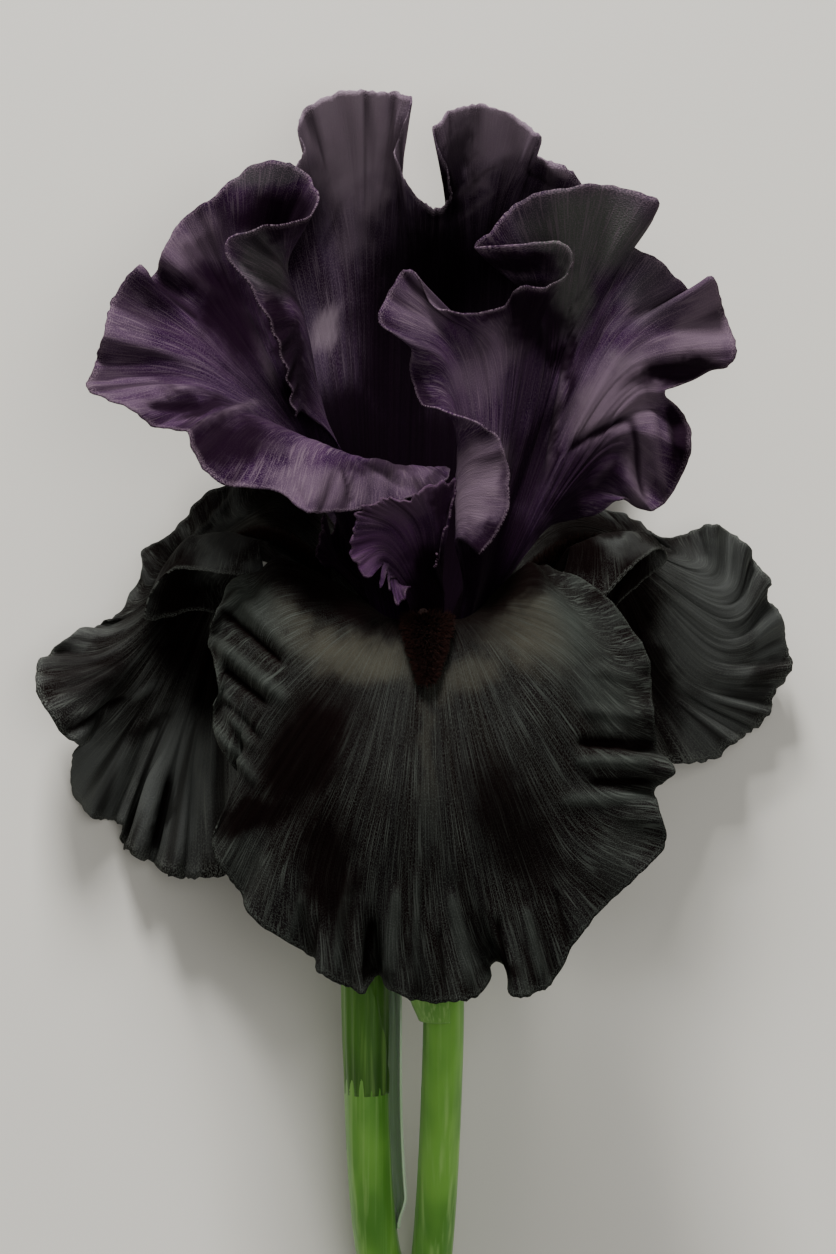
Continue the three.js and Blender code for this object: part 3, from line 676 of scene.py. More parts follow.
# Painted shade: the hollow under the near shoulder, the heart and the gaps between the lobes.
SIDE_LEFT_PAINTED_SHADE = [
    (-41, -4, 14, 6, 90, 1.0), (-36, -14, 10, 5, 80, 1.0), (-46, -22, 5, 1.5, 30, 0.8),
    (-29, 8, 9, 5, 0, 0.75), (-37, 15, 7, 3, 50, 0.7), (-44.5, -38, 7, 1.2, 65, 0.8),
    (-24, 14, 8, 5, -20, 0.9), (-49, 8, 7, 3, 50, 0.4), (-57, -14, 8, 5, 0, 0.75),
]
# Painted light: the shoulder, the ribs and the lower blade, which hang away from the lamp.
SIDE_LEFT_PAINTED_LIGHT = [
    (-34, 8, 8, 4, 50, 0.8), (-57, -17, 7, 4, -60, 0.25), (-56, -33, 11, 7, 80, 1.0),
    (-42, -32, 14, 8, 80, 1.0), (-44, -36, 8, 2.5, 70, 0.7), (-27, 3.5, 3.5, 1.8, 0, 0.6),
    (-28.5, 11, 4, 0.8, -45, 0.7), (-58, -8, 7, 2, 20, 0.4),
]
grow_petal(
    "fall_left", "fall", fall_left_surface, across=300, along=80, material=side_velvet_painted_light,
    waves=[(15, 0.6, 0.4, 0.2), (44, 0.4, 0.7, 0.2)], crease=0.2, nibble=0.014,
    folds=SIDE_LEFT_FOLDS, deep=SIDE_LEFT_PAINTED_SHADE, pale=SIDE_LEFT_PAINTED_LIGHT, seed=2.9,
)

fall_right_surface = loft([claw(RIGHT_BACK, 1), *FALL_RIGHT_RINGS])
# Painted shade: the hollow under the near shoulder and behind the front fall.
SIDE_RIGHT_PAINTED_SHADE = [
    (34, -2, 13, 5, 90, 1.0), (25, 6, 7, 6, 0, 1.0), (38, -14, 10, 3.5, 110, 0.9), (40, 8, 8, 2, -10, 0.5),
    (28, 11, 9, 2.5, -10, 0.9), (57, -14, 5, 2, 60, 0.6),
]
# Painted light: the lip of the shoulder and the fan of the blade.
SIDE_RIGHT_PAINTED_LIGHT = [
    (33, 7.5, 4.5, 2, -10, 0.9), (48, -4, 15, 8, 70, 0.7), (50, -20, 10, 6, 50, 0.7),
    (47, 6, 9, 4, 20, 0.6), (58, -7, 7, 4, 70, 0.8),
]
grow_petal(
    "fall_right", "fall", fall_right_surface, across=284, along=80, material=side_velvet_painted_light,
    waves=[(14, 0.25, 0.6, 0.2), (40, 0.35, 0.7, 0.2)], crease=0.2, nibble=0.014,
    deep=SIDE_RIGHT_PAINTED_SHADE, pale=SIDE_RIGHT_PAINTED_LIGHT, seed=4.1,
)

# %% [markdown]
# ## The standards
# The three upright petals are thinner silk than the falls. The two in front roll open towards the
# viewer, and the rear one stands behind them with two lobes over the top.

# %% Standards
STANDARD_LEFT_RINGS = [
    [[-1, 5, 8], [-9, 12, 9], [-18, 20, 4], [-19, 25, -1], [-13, 20, 0]],
    [
        [2, 19, 12], [-12, 22, 18], [-27, 28, 12], [-35, 33, 1], [-35, 41, -3], [-31, 48, -8],
        [-24.5, 51, -11], [-21, 46, 3], [-20, 29, 5],
    ],
    [
        [4, 19.5, 13], [2.5, 17.5, 16], [-4, 14.5, 18.5], [-10, 13, 20.5], [-16, 12.5, 23.5],
        [-20, 12.5, 27], [-25, 16, 24], [-33, 17, 25], [-38, 21, 22], [-40, 26, 18], [-45, 27, 10],
        [-50, 30, 9], [-56.5, 33, 3], [-55.5, 38, -3], [-54, 43, 0], [-52.5, 49, -6], [-48.5, 54, -3],
        [-46, 52.5, -8], [-44, 57, -5], [-41, 62, -9], [-36, 65.5, -5], [-31, 70, -9], [-25, 72, -3],
        [-19.5, 69, -2], [-18, 64, 5], [-21, 61, 10], [-27.5, 60, 13], [-33.5, 57, 12], [-29.5, 50, 12],
        [-25.5, 43, 11.5], [-23.5, 37, 11], [-22.8, 33, 10], [-21.8, 28.5, 8.5],
    ],
]
STANDARD_RIGHT_RINGS = [
    [[6, 0, 9], [9, 5, 11], [12, 8, 6.5], [15, 6, 6.5], [12, 0, 3.5]],
    [
        [5, 8, 14], [5, 24, 14], [5, 36, 14], [12, 37, 12], [17, 40, 8], [21, 43, 2], [25, 42, 1],
        [31, 39, 6], [32, 30, 6], [28, 20, 5.5], [18, 8.5, 3],
    ],
    [
        [9, 5.5, 19], [13, 12, 20], [13.5, 20, 19], [11, 26, 19], [4, 29, 19], [-1, 31, 16], [-3, 36, 15],
        [-3, 40, 18], [-8, 44, 20], [-6, 50, 17], [-3, 53, 18], [0.5, 47.5, 17], [5, 45.5, 18.5],
        [12, 46.5, 15.5], [15, 50, 18], [20, 50, 16.5], [24, 53.5, 18.5], [21, 57.5, 19.5], [8, 56.5, 13],
        [11, 60, 14], [15, 64.5, 12], [22, 66.5, 16], [30, 67, 12], [38, 64.5, 15], [37, 61, 10],
        [34, 57.5, 6], [38, 55, 8], [44, 50, 2], [47.5, 52, 5], [50, 46, -1], [51.5, 39, 3], [47, 36, 0],
        [39.5, 33, 4], [43, 29, -2], [44, 23, 2], [41.5, 17, -3], [38, 13, 2], [35, 14, -1], [32, 15, 4],
        [27, 12, 2], [20, 12, 2.5],
    ],
]
STANDARD_BACK_RINGS = [
    [[-4.5, -6, -8], [-10, 8, -20], [0, 10, -25], [10, 8, -20], [4.5, -6, -8]],
    [
        [-7, 0, -11], [-22, 30, -33], [-15, 54, -31], [-6, 56, -32], [1, 46, -35], [7, 56, -32],
        [14, 54, -31], [22, 30, -33], [7, 0, -11],
    ],
    [
        [-9, 3, -12], [-16, 8, -15], [-24, 16, -20], [-32, 28, -25], [-35, 44, -26], [-32, 58, -24],
        [-26, 68, -20], [-21, 73, -16], [-21.5, 79, -13], [-17, 83, -15], [-11, 84, -12], [-5, 83.5, -14],
        [-2.5, 82, -10], [-5, 74, -16], [-3, 68, -20], [0, 65, -22], [2, 64.5, -22], [4, 67, -20],
        [3, 72, -16], [1, 77, -12], [4, 80.5, -14], [9.5, 81.5, -11], [15, 79.5, -14], [19, 76, -11],
        [18.5, 73.5, -15], [23, 71.5, -13], [27, 67, -17], [31, 58, -22], [34, 44, -26], [31, 28, -25],
        [23, 16, -20], [15, 8, -15], [9, 3, -12],
    ],
]
LEFT_FOLDS = [
    (-58, 33.3, -37, 33, 0.9, 0.6), (-46, 30.5, -36, 31, 1.1, -1.1), (-54, 41, -42, 38, 0.6, -0.3),
    (-46, 52, -36, 44, 1.2, -0.8), (-44, 56, -34, 48, 1.2, 0.6), (-38, 26, -27, 31.5, 0.9, 0.7),
    (-13.9, 20.3, -12, 13.5, 0.5, -0.7), (-11, 21, -3, 16.2, 0.45, -0.5), (-9, 21.5, -2, 17.6, 0.6, 0.4),
    (-21, 17, -19, 12.5, 0.7, -0.4), (-30, 24, -20, 22, 1.5, 0.4), (-31, 47, -25, 33, 1.0, 0.6),
    (-52, 35, -44, 34.5, 0.7, 0.4),
]
# Painted shade: the pocket under the top rim, the valleys of the fan, and the shade under the flap and round
# the claw.
LEFT_PAINTED_SHADE = [
    (-33, 46, 13, 6, -62, 1.0), (-44, 49.5, 6, 3, -10, 0.8), (-38.5, 30.5, 8, 2.2, -3, 0.95),
    (-37, 57, 6, 2.5, 35, 0.6), (-25, 62.5, 9, 4.5, 5, 1.0), (-33, 24, 10, 5, 12, 1.0),
    (-23, 40, 13, 3.2, -72, 1.0), (-46, 37, 6, 2.5, -20, 0.4), (-8, 20, 6, 1.5, -5, 0.7),
    (-27, 27, 8, 2, 25, 0.5), (-9, 5, 12, 6, -35, 1.0), (1, 17.5, 3, 1.2, 60, 0.6),
]
# Painted light: the lit flap, the tongue, the rim of the top lobe and the crests of the folds.
LEFT_PAINTED_LIGHT = [
    (-50, 44, 8, 5, 70, 0.35), (-39, 57, 7, 4, 40, 0.8), (-27, 69, 8, 1.8, 5, 0.6),
    (-17, 16.5, 9, 4, -8, 0.65), (-5, 18, 8, 3, -5, 0.5), (-27, 54, 7, 4, -65, 0.75),
    (-54, 35.5, 6, 2, 0, 0.5), (-30, 15.5, 6, 2, -10, 0.5),
]
grow_petal(
    "standard_left", "standard", loft([claw(LEFT_FRONT, -1), *STANDARD_LEFT_RINGS]),
    across=306, along=86, material=purple_silk,
    waves=[(12, 0.4, 0.45, ALL_ROUND), (40, 0.3, 0.74, ALL_ROUND)], crease=0.2,
    nibble=0.014, folds=LEFT_FOLDS, deep=LEFT_PAINTED_SHADE, pale=LEFT_PAINTED_LIGHT,
    # The painted light on the tongue and the top rim is grey-green.
    mossy=[(-27, 55, 7, 10, 0, 1.0), (-27, 69, 12, 4, 0, 1.0)], seed=6.5,
)
RIGHT_FOLDS = [
    (24.5, 56, 24, 42, 0.5, 0.7), (24, 42, 20, 19, 0.5, 0.9), (36, 36, 48, 37, 1.4, -1.0),
    (36, 41, 50, 41, 1.6, 0.6), (22.5, 23, 34, 29, 1.0, -0.9), (34, 28, 36.5, 14, 1.0, -0.8),
    (36.5, 30, 39, 15, 1.1, 0.8), (40.5, 31, 42, 20, 1.0, -0.9), (27, 17, 31, 22, 0.9, 0.5),
    (30, 42, 36, 49, 1.2, 0.4),
]
# Painted shade: the valley along the midrib, the hollow of the hood, the folds of the lower lobes and the
# claw.
RIGHT_PAINTED_SHADE = [
    (17, 20, 10, 4.6, 75, 0.85), (14, 54, 9, 2.2, 0, 1.0), (17.5, 45, 8, 5.5, -45, 1.0),
    (22, 38, 5, 2, -60, 1.0), (9, 47, 5, 3, -20, 0.9), (27, 20, 8, 5, 35, 0.8), (42.5, 25, 9, 3, 95, 1.0),
    (43, 36, 10, 2.5, 8, 1.0), (-2, 30, 8, 2.5, 85, 0.8), (23.5, 38, 10, 0.6, 85, 0.9),
    (21.3, 24, 8, 0.6, 80, 0.9), (22, 12, 8, 3, 60, 0.9), (27.5, 41, 8, 1.2, 60, 0.5),
    (12, 8, 8, 4, 60, 0.9), (7, 2, 9, 6, 60, 1.0),
]
# Painted light: the lit fan, the top lobe and the lower panel.
RIGHT_PAINTED_LIGHT = [
    (10, 38, 9, 5, 60, 0.5), (-1, 46.5, 5, 5, 0, 0.6), (8, 17, 9, 5, 70, 1.0), (32, 32, 11, 6, 50, 1.0),
    (46, 43, 11, 6, 60, 1.0), (35, 20, 9, 2.6, 95, 0.9), (27, 60, 12, 8, 0, 1.0), (24, 50, 9, 4, 80, 1.0),
    (38, 50, 8, 5, 60, 0.5),
]
grow_petal(
    "standard_right", "standard", loft([claw(RIGHT_FRONT, 1), *STANDARD_RIGHT_RINGS]),
    across=324, along=86, material=purple_silk,
    waves=[(12, 0.35, 0.45, ALL_ROUND), (44, 0.25, 0.76, ALL_ROUND)], crease=0.2,
    nibble=0.014, folds=RIGHT_FOLDS, deep=RIGHT_PAINTED_SHADE, pale=RIGHT_PAINTED_LIGHT,
    # The painted light on the top lobe is grey-green.
    mossy=[(25, 55, 17, 16, 0, 1.0)], seed=7.5,
)
BACK_FOLDS = [
    (-4, 80, -8, 62, 1.0, 0.6), (8, 70, 14, 74, 0.9, 0.6), (5, 66, 11, 71, 0.8, -0.6),
    (6, 63, 12, 68, 0.8, 0.5), (19, 73, 24, 69, 0.8, 0.8), (16, 70, 22, 67, 0.8, -0.7),
    (-14, 66, -18, 56, 1.2, -0.5),
]
# Painted shade: the cavity seen between the front standards, near black from the claw up, and the notch
# between the lobes.
BACK_PAINTED_SHADE = [
    (2, 50, 18, 12, 90, 1.0), (-4, 42, 25, 10, 90, 1.0), (-13, 27, 11, 9, 90, 1.0), (3, 0, 14, 10, 90, 1.0),
    (12, 46, 22, 12, 90, 1.0), (2, 66, 5, 7, 0, 1.0), (5, 72, 8, 2.2, 80, 0.8), (20, 67, 6, 4, -30, 0.7),
    (-24, 60, 14, 6, 60, 0.8), (-3, 20, 26, 16, 0, 1.0),
]
# Painted light: the two lobes over the top, where light falls.
BACK_PAINTED_LIGHT = [
    (-13, 77, 14, 10, 90, 1.0), (-9, 66, 6, 3, 60, 0.7), (11, 78, 10, 8, 0, 0.75), (9, 69, 6, 1.6, 35, 0.6),
    (-12, 60, 5, 3, 60, 0.4), (-17, 44, 4.5, 2.6, 60, 1.0),
]
grow_petal(
    "standard_back", "standard", loft([claw(BACK, -1), *STANDARD_BACK_RINGS]),
    across=304, along=84, material=rear_silk_painted_shade_and_light,
    waves=[(12, 0.12, 0.5, ALL_ROUND), (40, 0.25, 0.78, ALL_ROUND)], crease=0.2,
    nibble=0.014, folds=BACK_FOLDS, deep=BACK_PAINTED_SHADE, pale=BACK_PAINTED_LIGHT, seed=8.5,
)

# %% [markdown]
# ## Style arms
# Over each fall lies a petal-like arm of the pistil, which hides a stamen and ends in a torn,
# feathery crest. It is a petal in its own right, so it is drawn as one, the front one with deep slits in its
# edge.

# %% Style arms
STYLE_FRONT_RINGS = [
    [[-2.8, -3, 8.8], [0, -1.5, 9.8], [2.8, -3, 8.8]],
    [[-4, 0, 14], [-6.5, 4, 17], [-6, 8.5, 18.5], [-2, 10, 18], [1.5, 9, 17.5], [2.5, 5, 16], [2, 1, 14]],
    [
        [-2.5, 0.5, 20], [-4.8, -2.8, 21.5], [-8, 0, 22], [-12.8, 4, 22], [-13, 9, 23], [-12, 13.5, 24],
        [-8, 15.5, 23], [-3.5, 15.5, 24], [-0.5, 18, 22.5], [5, 19.3, 22], [4, 14, 22], [2.3, 9, 21.5],
        [1, 4, 20.5],
    ],
]
STYLE_SIDE_RINGS = [
    [[-2.6, 11, 8.2], [0, 12.5, 8.7], [2.6, 11, 8.2]],
    [[-4, 17.5, 13.5], [-2.5, 19, 15], [0, 18.5, 15.5], [2.5, 19, 15], [4, 17.5, 13.5]],
    [
        [-4.5, 18, 16], [-6, 21, 17], [-5.5, 25.5, 16], [-3, 27.5, 16.5], [0, 22.5, 18], [3, 27.5, 16.5],
        [5.5, 25.5, 16], [6, 21, 17], [4.5, 18, 16],
    ],
]
STYLE_RADIUS = 1.5
STYLE_HALF_ANGLE = 40
STYLE_SKIN = 0.35


def style_base(angle):
    return [around(angle + k * STYLE_HALF_ANGLE, STYLE_RADIUS, CLAW_SEAT) for k in (-1, 0, 1)]


def turned_rings(angle, rings):
    """Rings given as [sideways, height, outwards], for an arm at any angle round the axis."""
    sideways = Matrix.Rotation(math.radians(angle), 3, AXIS) @ RIGHT
    return [[around(angle, out, height) + sideways * side for side, height, out in ring] for ring in rings]


# The crests are the same silk with less painted light: a dull violet that is near black at their foot,
# partly their own dark and partly painted shade.
crest_silk = petal_finish(
    "feathered_crest_silk",
    {
        "deep": "#2b1630", "body": "#432746", "brow": "#4d3d49", "pale": "#4d3d49", "fibre": "#51404c",
        "haft": "#0d0308", "vein": "#1d0a14", "painted_shade": "#0c0209", "sheen": "#a79aa8",
    },
    sheen=0.02, fibre_share=0.4, cell_mm=0.3, haft_reach=0.5,
)
CREST_SLITS = [(0.11, 0.008, 0.5), (0.14, 0.01, 0.3), (0.18, 0.008, 0.45), (0.93, 0.015, 0.3)]
# Painted shade in the middle of the crest and beside its right lobe; painted light on its left lobe.
CREST_PAINTED_SHADE = [(1, 2, 8, 5, 90, 1.0), (3, 14, 5, 2, 80, 0.8)]
CREST_PAINTED_LIGHT = [(-5, 15, 8, 4, 10, 0.5), (-9, 4, 5, 1.2, 55, 0.2)]
style_front = skin(
    "style_arm_front_crest", loft([style_base(FRONT_SIDE), *STYLE_FRONT_RINGS]),
    across=220, along=60, thickness_mm=STYLE_SKIN, material=crest_silk,
    waves=[(9, 0.2, 0.5, ALL_ROUND), (42, 0.12, 0.75, ALL_ROUND)], crease=0.25, nibble=0.08,
    slits=CREST_SLITS, deep=CREST_PAINTED_SHADE, pale=CREST_PAINTED_LIGHT, seed=9.1,
)
finish_piece(style_front, "style_arm_front")
# The side arms lie in the shade of the standards, so painted shade covers each of them whole.
SIDE_CREST_PAINTED_SHADE = [(0, 4, 26, 16, 0, 1.0)]
for node, angle, seed in (("style_arm_left", LEFT_BACK, 10.2), ("style_arm_right", RIGHT_BACK, 11.3)):
    surface = loft([style_base(angle), *turned_rings(angle, STYLE_SIDE_RINGS)])
    arm = skin(
        node + "_crest", surface, across=160, along=50, thickness_mm=STYLE_SKIN, material=crest_silk,
        waves=[(14, 0.2, 0.5, ALL_ROUND), (30, 0.2, 0.75, ALL_ROUND)], crease=0.15, nibble=0.08,
        deep=SIDE_CREST_PAINTED_SHADE, seed=seed,
    )
    finish_piece(arm, node)

# %% [markdown]
# ## Round bodies
# Stamens, tube, ovary, stem and the closed sheath of the side bud are all round, so a grid is
# wrapped right round a path and its ends are drawn shut. The path can bend, and the radius can
# change along it and round it, which gives the ovary its six shallow ribs.

# %% Tubes along a path
STEM_RISE = math.radians(14)
PATH_STEP = 0.01
STRIPE_STRETCH = 90
GREEN_CLOUD_SIZE = (7 * MM, 20 * MM, 7 * MM)
WAX_TINT = "#dfe6dc"


def tube(path, radius_at, cap=0.03, side=Vector((1, 0, 0))):
    """A surface round a path of points; radius_at(u, v) is in millimetres, v along the open part."""
    path = [Vector(point) for point in path]

    def point_at(u, v):
        along = min(max((v - cap) / (1 - 2 * cap), 0.0), 1.0)
        closing = min(v / cap, (1 - v) / cap, 1.0)
        here = spline(path, along)
        ahead = (spline(path, along + PATH_STEP) - spline(path, along - PATH_STEP)).normalized()
        out = (side - ahead * side.dot(ahead)).normalized()
        turn = 2 * math.pi * (u % 1.0)
        reach = radius_at(u, along) * closing
        return here + (out * math.cos(turn) + out.cross(ahead) * math.sin(turn)) * reach

    return Surface(point_at)


def green_finish(name, pale, body, dark, roughness, stripe_mm, waxy=0.0, blush=None):
    """Plant skin with fine stripes along the stem, which rises a little from its cut end; a blush
    colour, where there is one, spreads over the upper part."""
    material, tree, shader = new_finish(name, Roughness=roughness, Specular_IOR_Level=0.35)
    shader.inputs["Sheen Weight"].default_value = waxy
    shader.inputs["Sheen Tint"].default_value = linear(WAX_TINT)
    shader.inputs["Subsurface Weight"].default_value = 0.12
    shader.inputs["Subsurface Radius"].default_value = (0.4, 1.0, 0.2)
    shader.inputs["Subsurface Scale"].default_value = 0.6 * MM
    place = add(tree, "ShaderNodeTexCoord").outputs["Object"]
    width = stripe_mm * MM
    stripes = stretched_noise(tree, place, (width, STRIPE_STRETCH * width, width), 2.0, 0.0, STEM_RISE)
    cloud = stretched_noise(tree, place, GREEN_CLOUD_SIZE)
    colour = mixed(tree, ranged(tree, cloud, 0.3, 0.7), dark, body)
    colour = mixed(tree, product(tree, ranged(tree, stripes, 0.45, 0.75), 0.45), colour, pale)
    if blush:
        colour = mixed(tree, ranged(tree, map_parts(tree, "share")[1], 0.3, 0.75), colour, blush)
    tree.links.new(colour, shader.inputs["Base Color"])
    bump = {"Height": stripes, "Strength": 0.3, "Distance": 0.2 * MM}
    tree.links.new(add(tree, "ShaderNodeBump", bump).outputs[0], shader.inputs["Normal"])
    return material


print("tube surface ready")

# %% [markdown]
# ## Stamens
# Under each style arm stands one stamen: a thin filament and a long anther with two pollen sacs.

# %% Stamens
STAMEN_PATH = [(3.4, 0.7), (5.8, 4.5), (8.8, 8.4), (12.6, 12.6)]
FILAMENT_RADIUS = 0.55
ANTHER_RADIUS = 1.1
ANTHER_FOOT = (0.6, 0.68)
ANTHER_TIP = (0.94, 1.0)
SAC_GROOVE = 0.18
POLLEN_GRAIN = (0.3 * MM,) * 3
# Pollen gives the eye a dry brown powder; its grains are drawn coarse, so that they show.
pollen, pollen_tree, pollen_shader = new_finish("powdery_pollen", Roughness=0.9, Specular_IOR_Level=0.1)
on_anther = add(pollen_tree, "ShaderNodeTexCoord").outputs["Object"]
grains = stretched_noise(pollen_tree, on_anther, POLLEN_GRAIN)
dust = mixed(pollen_tree, ranged(pollen_tree, grains, 0.4, 0.6), "#170d0d", "#241815")
pollen_tree.links.new(dust, pollen_shader.inputs["Base Color"])


def stamen_radius(u, v):
    swell = eased(v, *ANTHER_FOOT) * (1 - 0.6 * eased(v, *ANTHER_TIP))
    sacs = 1 - SAC_GROOVE * math.cos(4 * math.pi * u) ** 2
    return FILAMENT_RADIUS + (ANTHER_RADIUS * sacs - FILAMENT_RADIUS) * swell


for node, angle in (("stamen_front", FRONT_SIDE), ("stamen_left", LEFT_BACK), ("stamen_right", RIGHT_BACK)):
    path = [around(angle, out, height) for out, height in STAMEN_PATH]
    sideways = Matrix.Rotation(math.radians(angle), 3, AXIS) @ RIGHT
    surface = tube(path, stamen_radius, side=sideways)
    stamen = wrapped(node + "_anther", surface, across=24, along=60, material=pollen)
    finish_piece(stamen, node)

# %% [markdown]
# ## Perianth tube and ovary
# All petals stand on a short funnel-shaped tube over the ovary, which is green, swollen and
# six-ribbed. Both are turned round the flower's axis, with shallow ribs pressed into them.

# %% Tube and ovary
TUBE_PROFILE = [[0, -24], [3, -24], [3, -12], [4.4, -6], [6.4, -1.5], [6.4, 0], [0, 0]]
OVARY_PROFILE = [
    [0, -46.3], [3.2, -46.3], [4.3, -42.3], [4.6, -36.3], [4.1, -29.3], [3.2, -24.3], [0, -24.3],
]
RIBS = 6
TUBE_RIB_DEPTH = 0.06
OVARY_RIB_DEPTH = 0.12


def turned(profile, ribs, rib_depth):
    """A surface of revolution round the axis, its profile points given as [radius, height]."""
    profile = [Vector((radius, height, 0)) for radius, height in profile]

    def point_at(u, v):
        place = v * (len(profile) - 1)
        i = min(int(place), len(profile) - 2)
        radius, height, _ = profile[i].lerp(profile[i + 1], place - i)
        grooved = radius * (1 - rib_depth * (0.5 - 0.5 * math.cos(2 * math.pi * ribs * u)))
        return around(360 * (u % 1.0), max(grooved, 0.0), height)

    return Surface(point_at)


# The tube's skin gives the eye a dull green that blushes to near black where the petals start.
tube_green = green_finish(
    "blushed_green_tube", "#8fa36a", "#53663a", "#35402a", roughness=0.5, stripe_mm=0.5, blush="#0f0508"
)
tube_surface = turned(TUBE_PROFILE, RIBS, TUBE_RIB_DEPTH)
tube_piece = wrapped("perianth_tube_skin", tube_surface, across=72, along=48, material=tube_green)
finish_piece(tube_piece, "perianth_tube")
# The ovary's smooth skin gives the eye a fresh green with a slight shine on its ribs.
ovary_green = green_finish(
    "ribbed_green_ovary", "#9cbf6a", "#6b9142", "#476a2e", roughness=0.45, stripe_mm=0.5, waxy=0.2
)
ovary_surface = turned(OVARY_PROFILE, RIBS, OVARY_RIB_DEPTH)
ovary = wrapped("ovary_skin", ovary_surface, across=96, along=60, material=ovary_green)
finish_piece(ovary, "ovary")

# %% [markdown]
# ## Spathes
# Two bracts clasp the ovary like the sheath of a bud. They are thin leaves, green below and papery
# towards their points, so they are skins on rings that run round the axis.

# %% Spathe bracts
SPATHE_INNER = (80, 105, [(4.3, -53), (5.9, -46), (6.1, -36), (5, -22)])
SPATHE_OUTER = (-95, 105, [(4.3, -58), (5.9, -53), (7.6, -42), (6.6, -27)])
BRACT_TIP_SHARE = 0.06
BRACT_SKIN = 0.35


def bract(angle, half_angle, profile):
    profile = [Vector((radius, height, 0)) for radius, height in profile]

    def point_at(u, v):
        radius, height, _ = spline(profile, v)
        spread = half_angle * max(1 - v ** 3, BRACT_TIP_SHARE)
        return around(angle + (2 * u - 1) * spread, radius, height)

    return Surface(point_at)


# A bract's thin leaf gives the eye a soft green with paler veins.
leaf_green = green_finish(
    "papery_green_bract", "#a5c77a", "#72a844", "#4c8228", roughness=0.55, stripe_mm=0.45, waxy=0.2
)
for node, shape, seed in (("spathe_inner", SPATHE_INNER, 12.1), ("spathe_outer", SPATHE_OUTER, 13.4)):
    spathe = skin(
        node + "_leaf", bract(*shape), across=90, along=60, thickness_mm=BRACT_SKIN, material=leaf_green,
        waves=[(9, 0.12, 0.2, ALL_ROUND)], crease=0.1, nibble=0.01, seed=seed,
    )
    finish_piece(spathe, node)

# %% [markdown]
# ## Stem and side branch
# The stem forks below the flower. Two bent tubes that run into each other are rebuilt as one skin
# by a fine voxel remesh, and smoothing draws the fork together, as it has grown in a real stem.

# %% Forked stem
STEM_PATH = [
    [2.8, -70, -9.4], [2.4, -85, -13.5], [1.7, -100, -18.6], [0.8, -112, -23], [-0.4, -123, -26.9],
    [-0.8, -133, -29.8], [-1, -142, -31.6],
]
BRANCH_PATH = [
    [-1.2, -131, -29.2], [-4.6, -121, -27.2], [-7.9, -112, -24.6], [-9.2, -102, -21.5],
    [-9.8, -92, -18.6], [-10.1, -84.3, -16.6],
]
BUD_FOOT = [-10.1, -83.9, -16.5]
BUD_TIP = [-10.6, -38, -8.5]
STEM_RADIUS = 3.5
BRANCH_RADIUS = 3.8
STEM_RIDGES = 9
STEM_RIDGE_DEPTH = 0.03
STEM_GAP = 0.3
STEM_TOP = around(FRONT_SIDE, 0, OVARY_PROFILE[0][1] - STEM_GAP)
BRANCH_IN_BUD = 0.08
VOXEL = 0.5 * MM


def ridged(radius, ridges, depth):
    """A nearly round section with faint ridges."""
    return lambda u, v: radius * (1 - depth * (0.5 + 0.5 * math.cos(2 * math.pi * ridges * u)))


# The stem's waxy skin gives the eye long pale streaks under a faint bluish bloom.
stem_green = green_finish(
    "waxy_green_stem", "#a3cc74", "#74ad3e", "#4d8626", roughness=0.42, stripe_mm=0.9, waxy=0.2
)
bm = bmesh.new()
inside_bud = Vector(BUD_FOOT).lerp(Vector(BUD_TIP), BRANCH_IN_BUD)
for path, radius in (([STEM_TOP, *STEM_PATH], STEM_RADIUS), ([*BRANCH_PATH, inside_bud], BRANCH_RADIUS)):
    surface = tube(path, ridged(radius, STEM_RIDGES, STEM_RIDGE_DEPTH), cap=0.005)
    lay_grid(bm, surface, across=64, along=140)
bmesh.ops.remove_doubles(bm, verts=bm.verts, dist=SAME_PLACE)
bmesh.ops.recalc_face_normals(bm, faces=bm.faces)
stem = new_object("stem_skin", bm, stem_green)
fused = stem.modifiers.new("fused", "REMESH")
fused.mode = "VOXEL"
fused.voxel_size = VOXEL
fused.use_smooth_shade = True
drawn = stem.modifiers.new("drawn_together", "SMOOTH")
drawn.factor = 0.5
drawn.iterations = 4
finish_piece(stem, "stem")

# %% [markdown]
# ## The side bud and its bract
# The side branch ends in a bud still closed in its sheath, a ribbed spindle whose edge overlaps
# itself in a long seam. A pale-edged leafy bract clasps the branch below it.

# %% Side bud and bract
BUD_PROFILE = [[0, 0], [3.8, 0], [4.1, 0.2], [4.2, 0.45], [3.4, 0.7], [1.6, 0.9], [0, 1]]
SIDE_BRACT_PATH = [
    [-8.7, -107, -23.1], [-9.5, -97, -20.1], [-10.1, -84, -16.6], [-10.3, -66, -13.4], [-10.5, -52, -11],
]
SIDE_BRACT_BACK = 220
SIDE_BRACT_FRONT = 70
SIDE_BRACT_FLARE = 1
SIDE_BRACT_GAP = 0.3
BRACT_THICKNESS = 0.8
BUD_LAP = 0.07
BUD_RIBS = 14
BUD_RIB_DEPTH = 0.02
foot, tip = Vector(BUD_FOOT), Vector(BUD_TIP)


def bud_point(u, v):
    place = v * (len(BUD_PROFILE) - 1)
    i = min(int(place), len(BUD_PROFILE) - 2)
    (radius_a, share_a), (radius_b, share_b) = BUD_PROFILE[i], BUD_PROFILE[i + 1]
    radius = radius_a + (radius_b - radius_a) * (place - i)
    share = share_a + (share_b - share_a) * (place - i)
    seam = (u % 1.0 - 0.5 * share) % 1.0
    lapped = radius * (1 - BUD_LAP * seam) * (1 - BUD_RIB_DEPTH * math.cos(2 * math.pi * BUD_RIBS * u))
    turn = 2 * math.pi * (u % 1.0)
    ahead = (tip - foot).normalized()
    out = (Vector((1, 0, 0)) - ahead * ahead.x).normalized()
    return foot.lerp(tip, share) + (out * math.cos(turn) + out.cross(ahead) * math.sin(turn)) * lapped


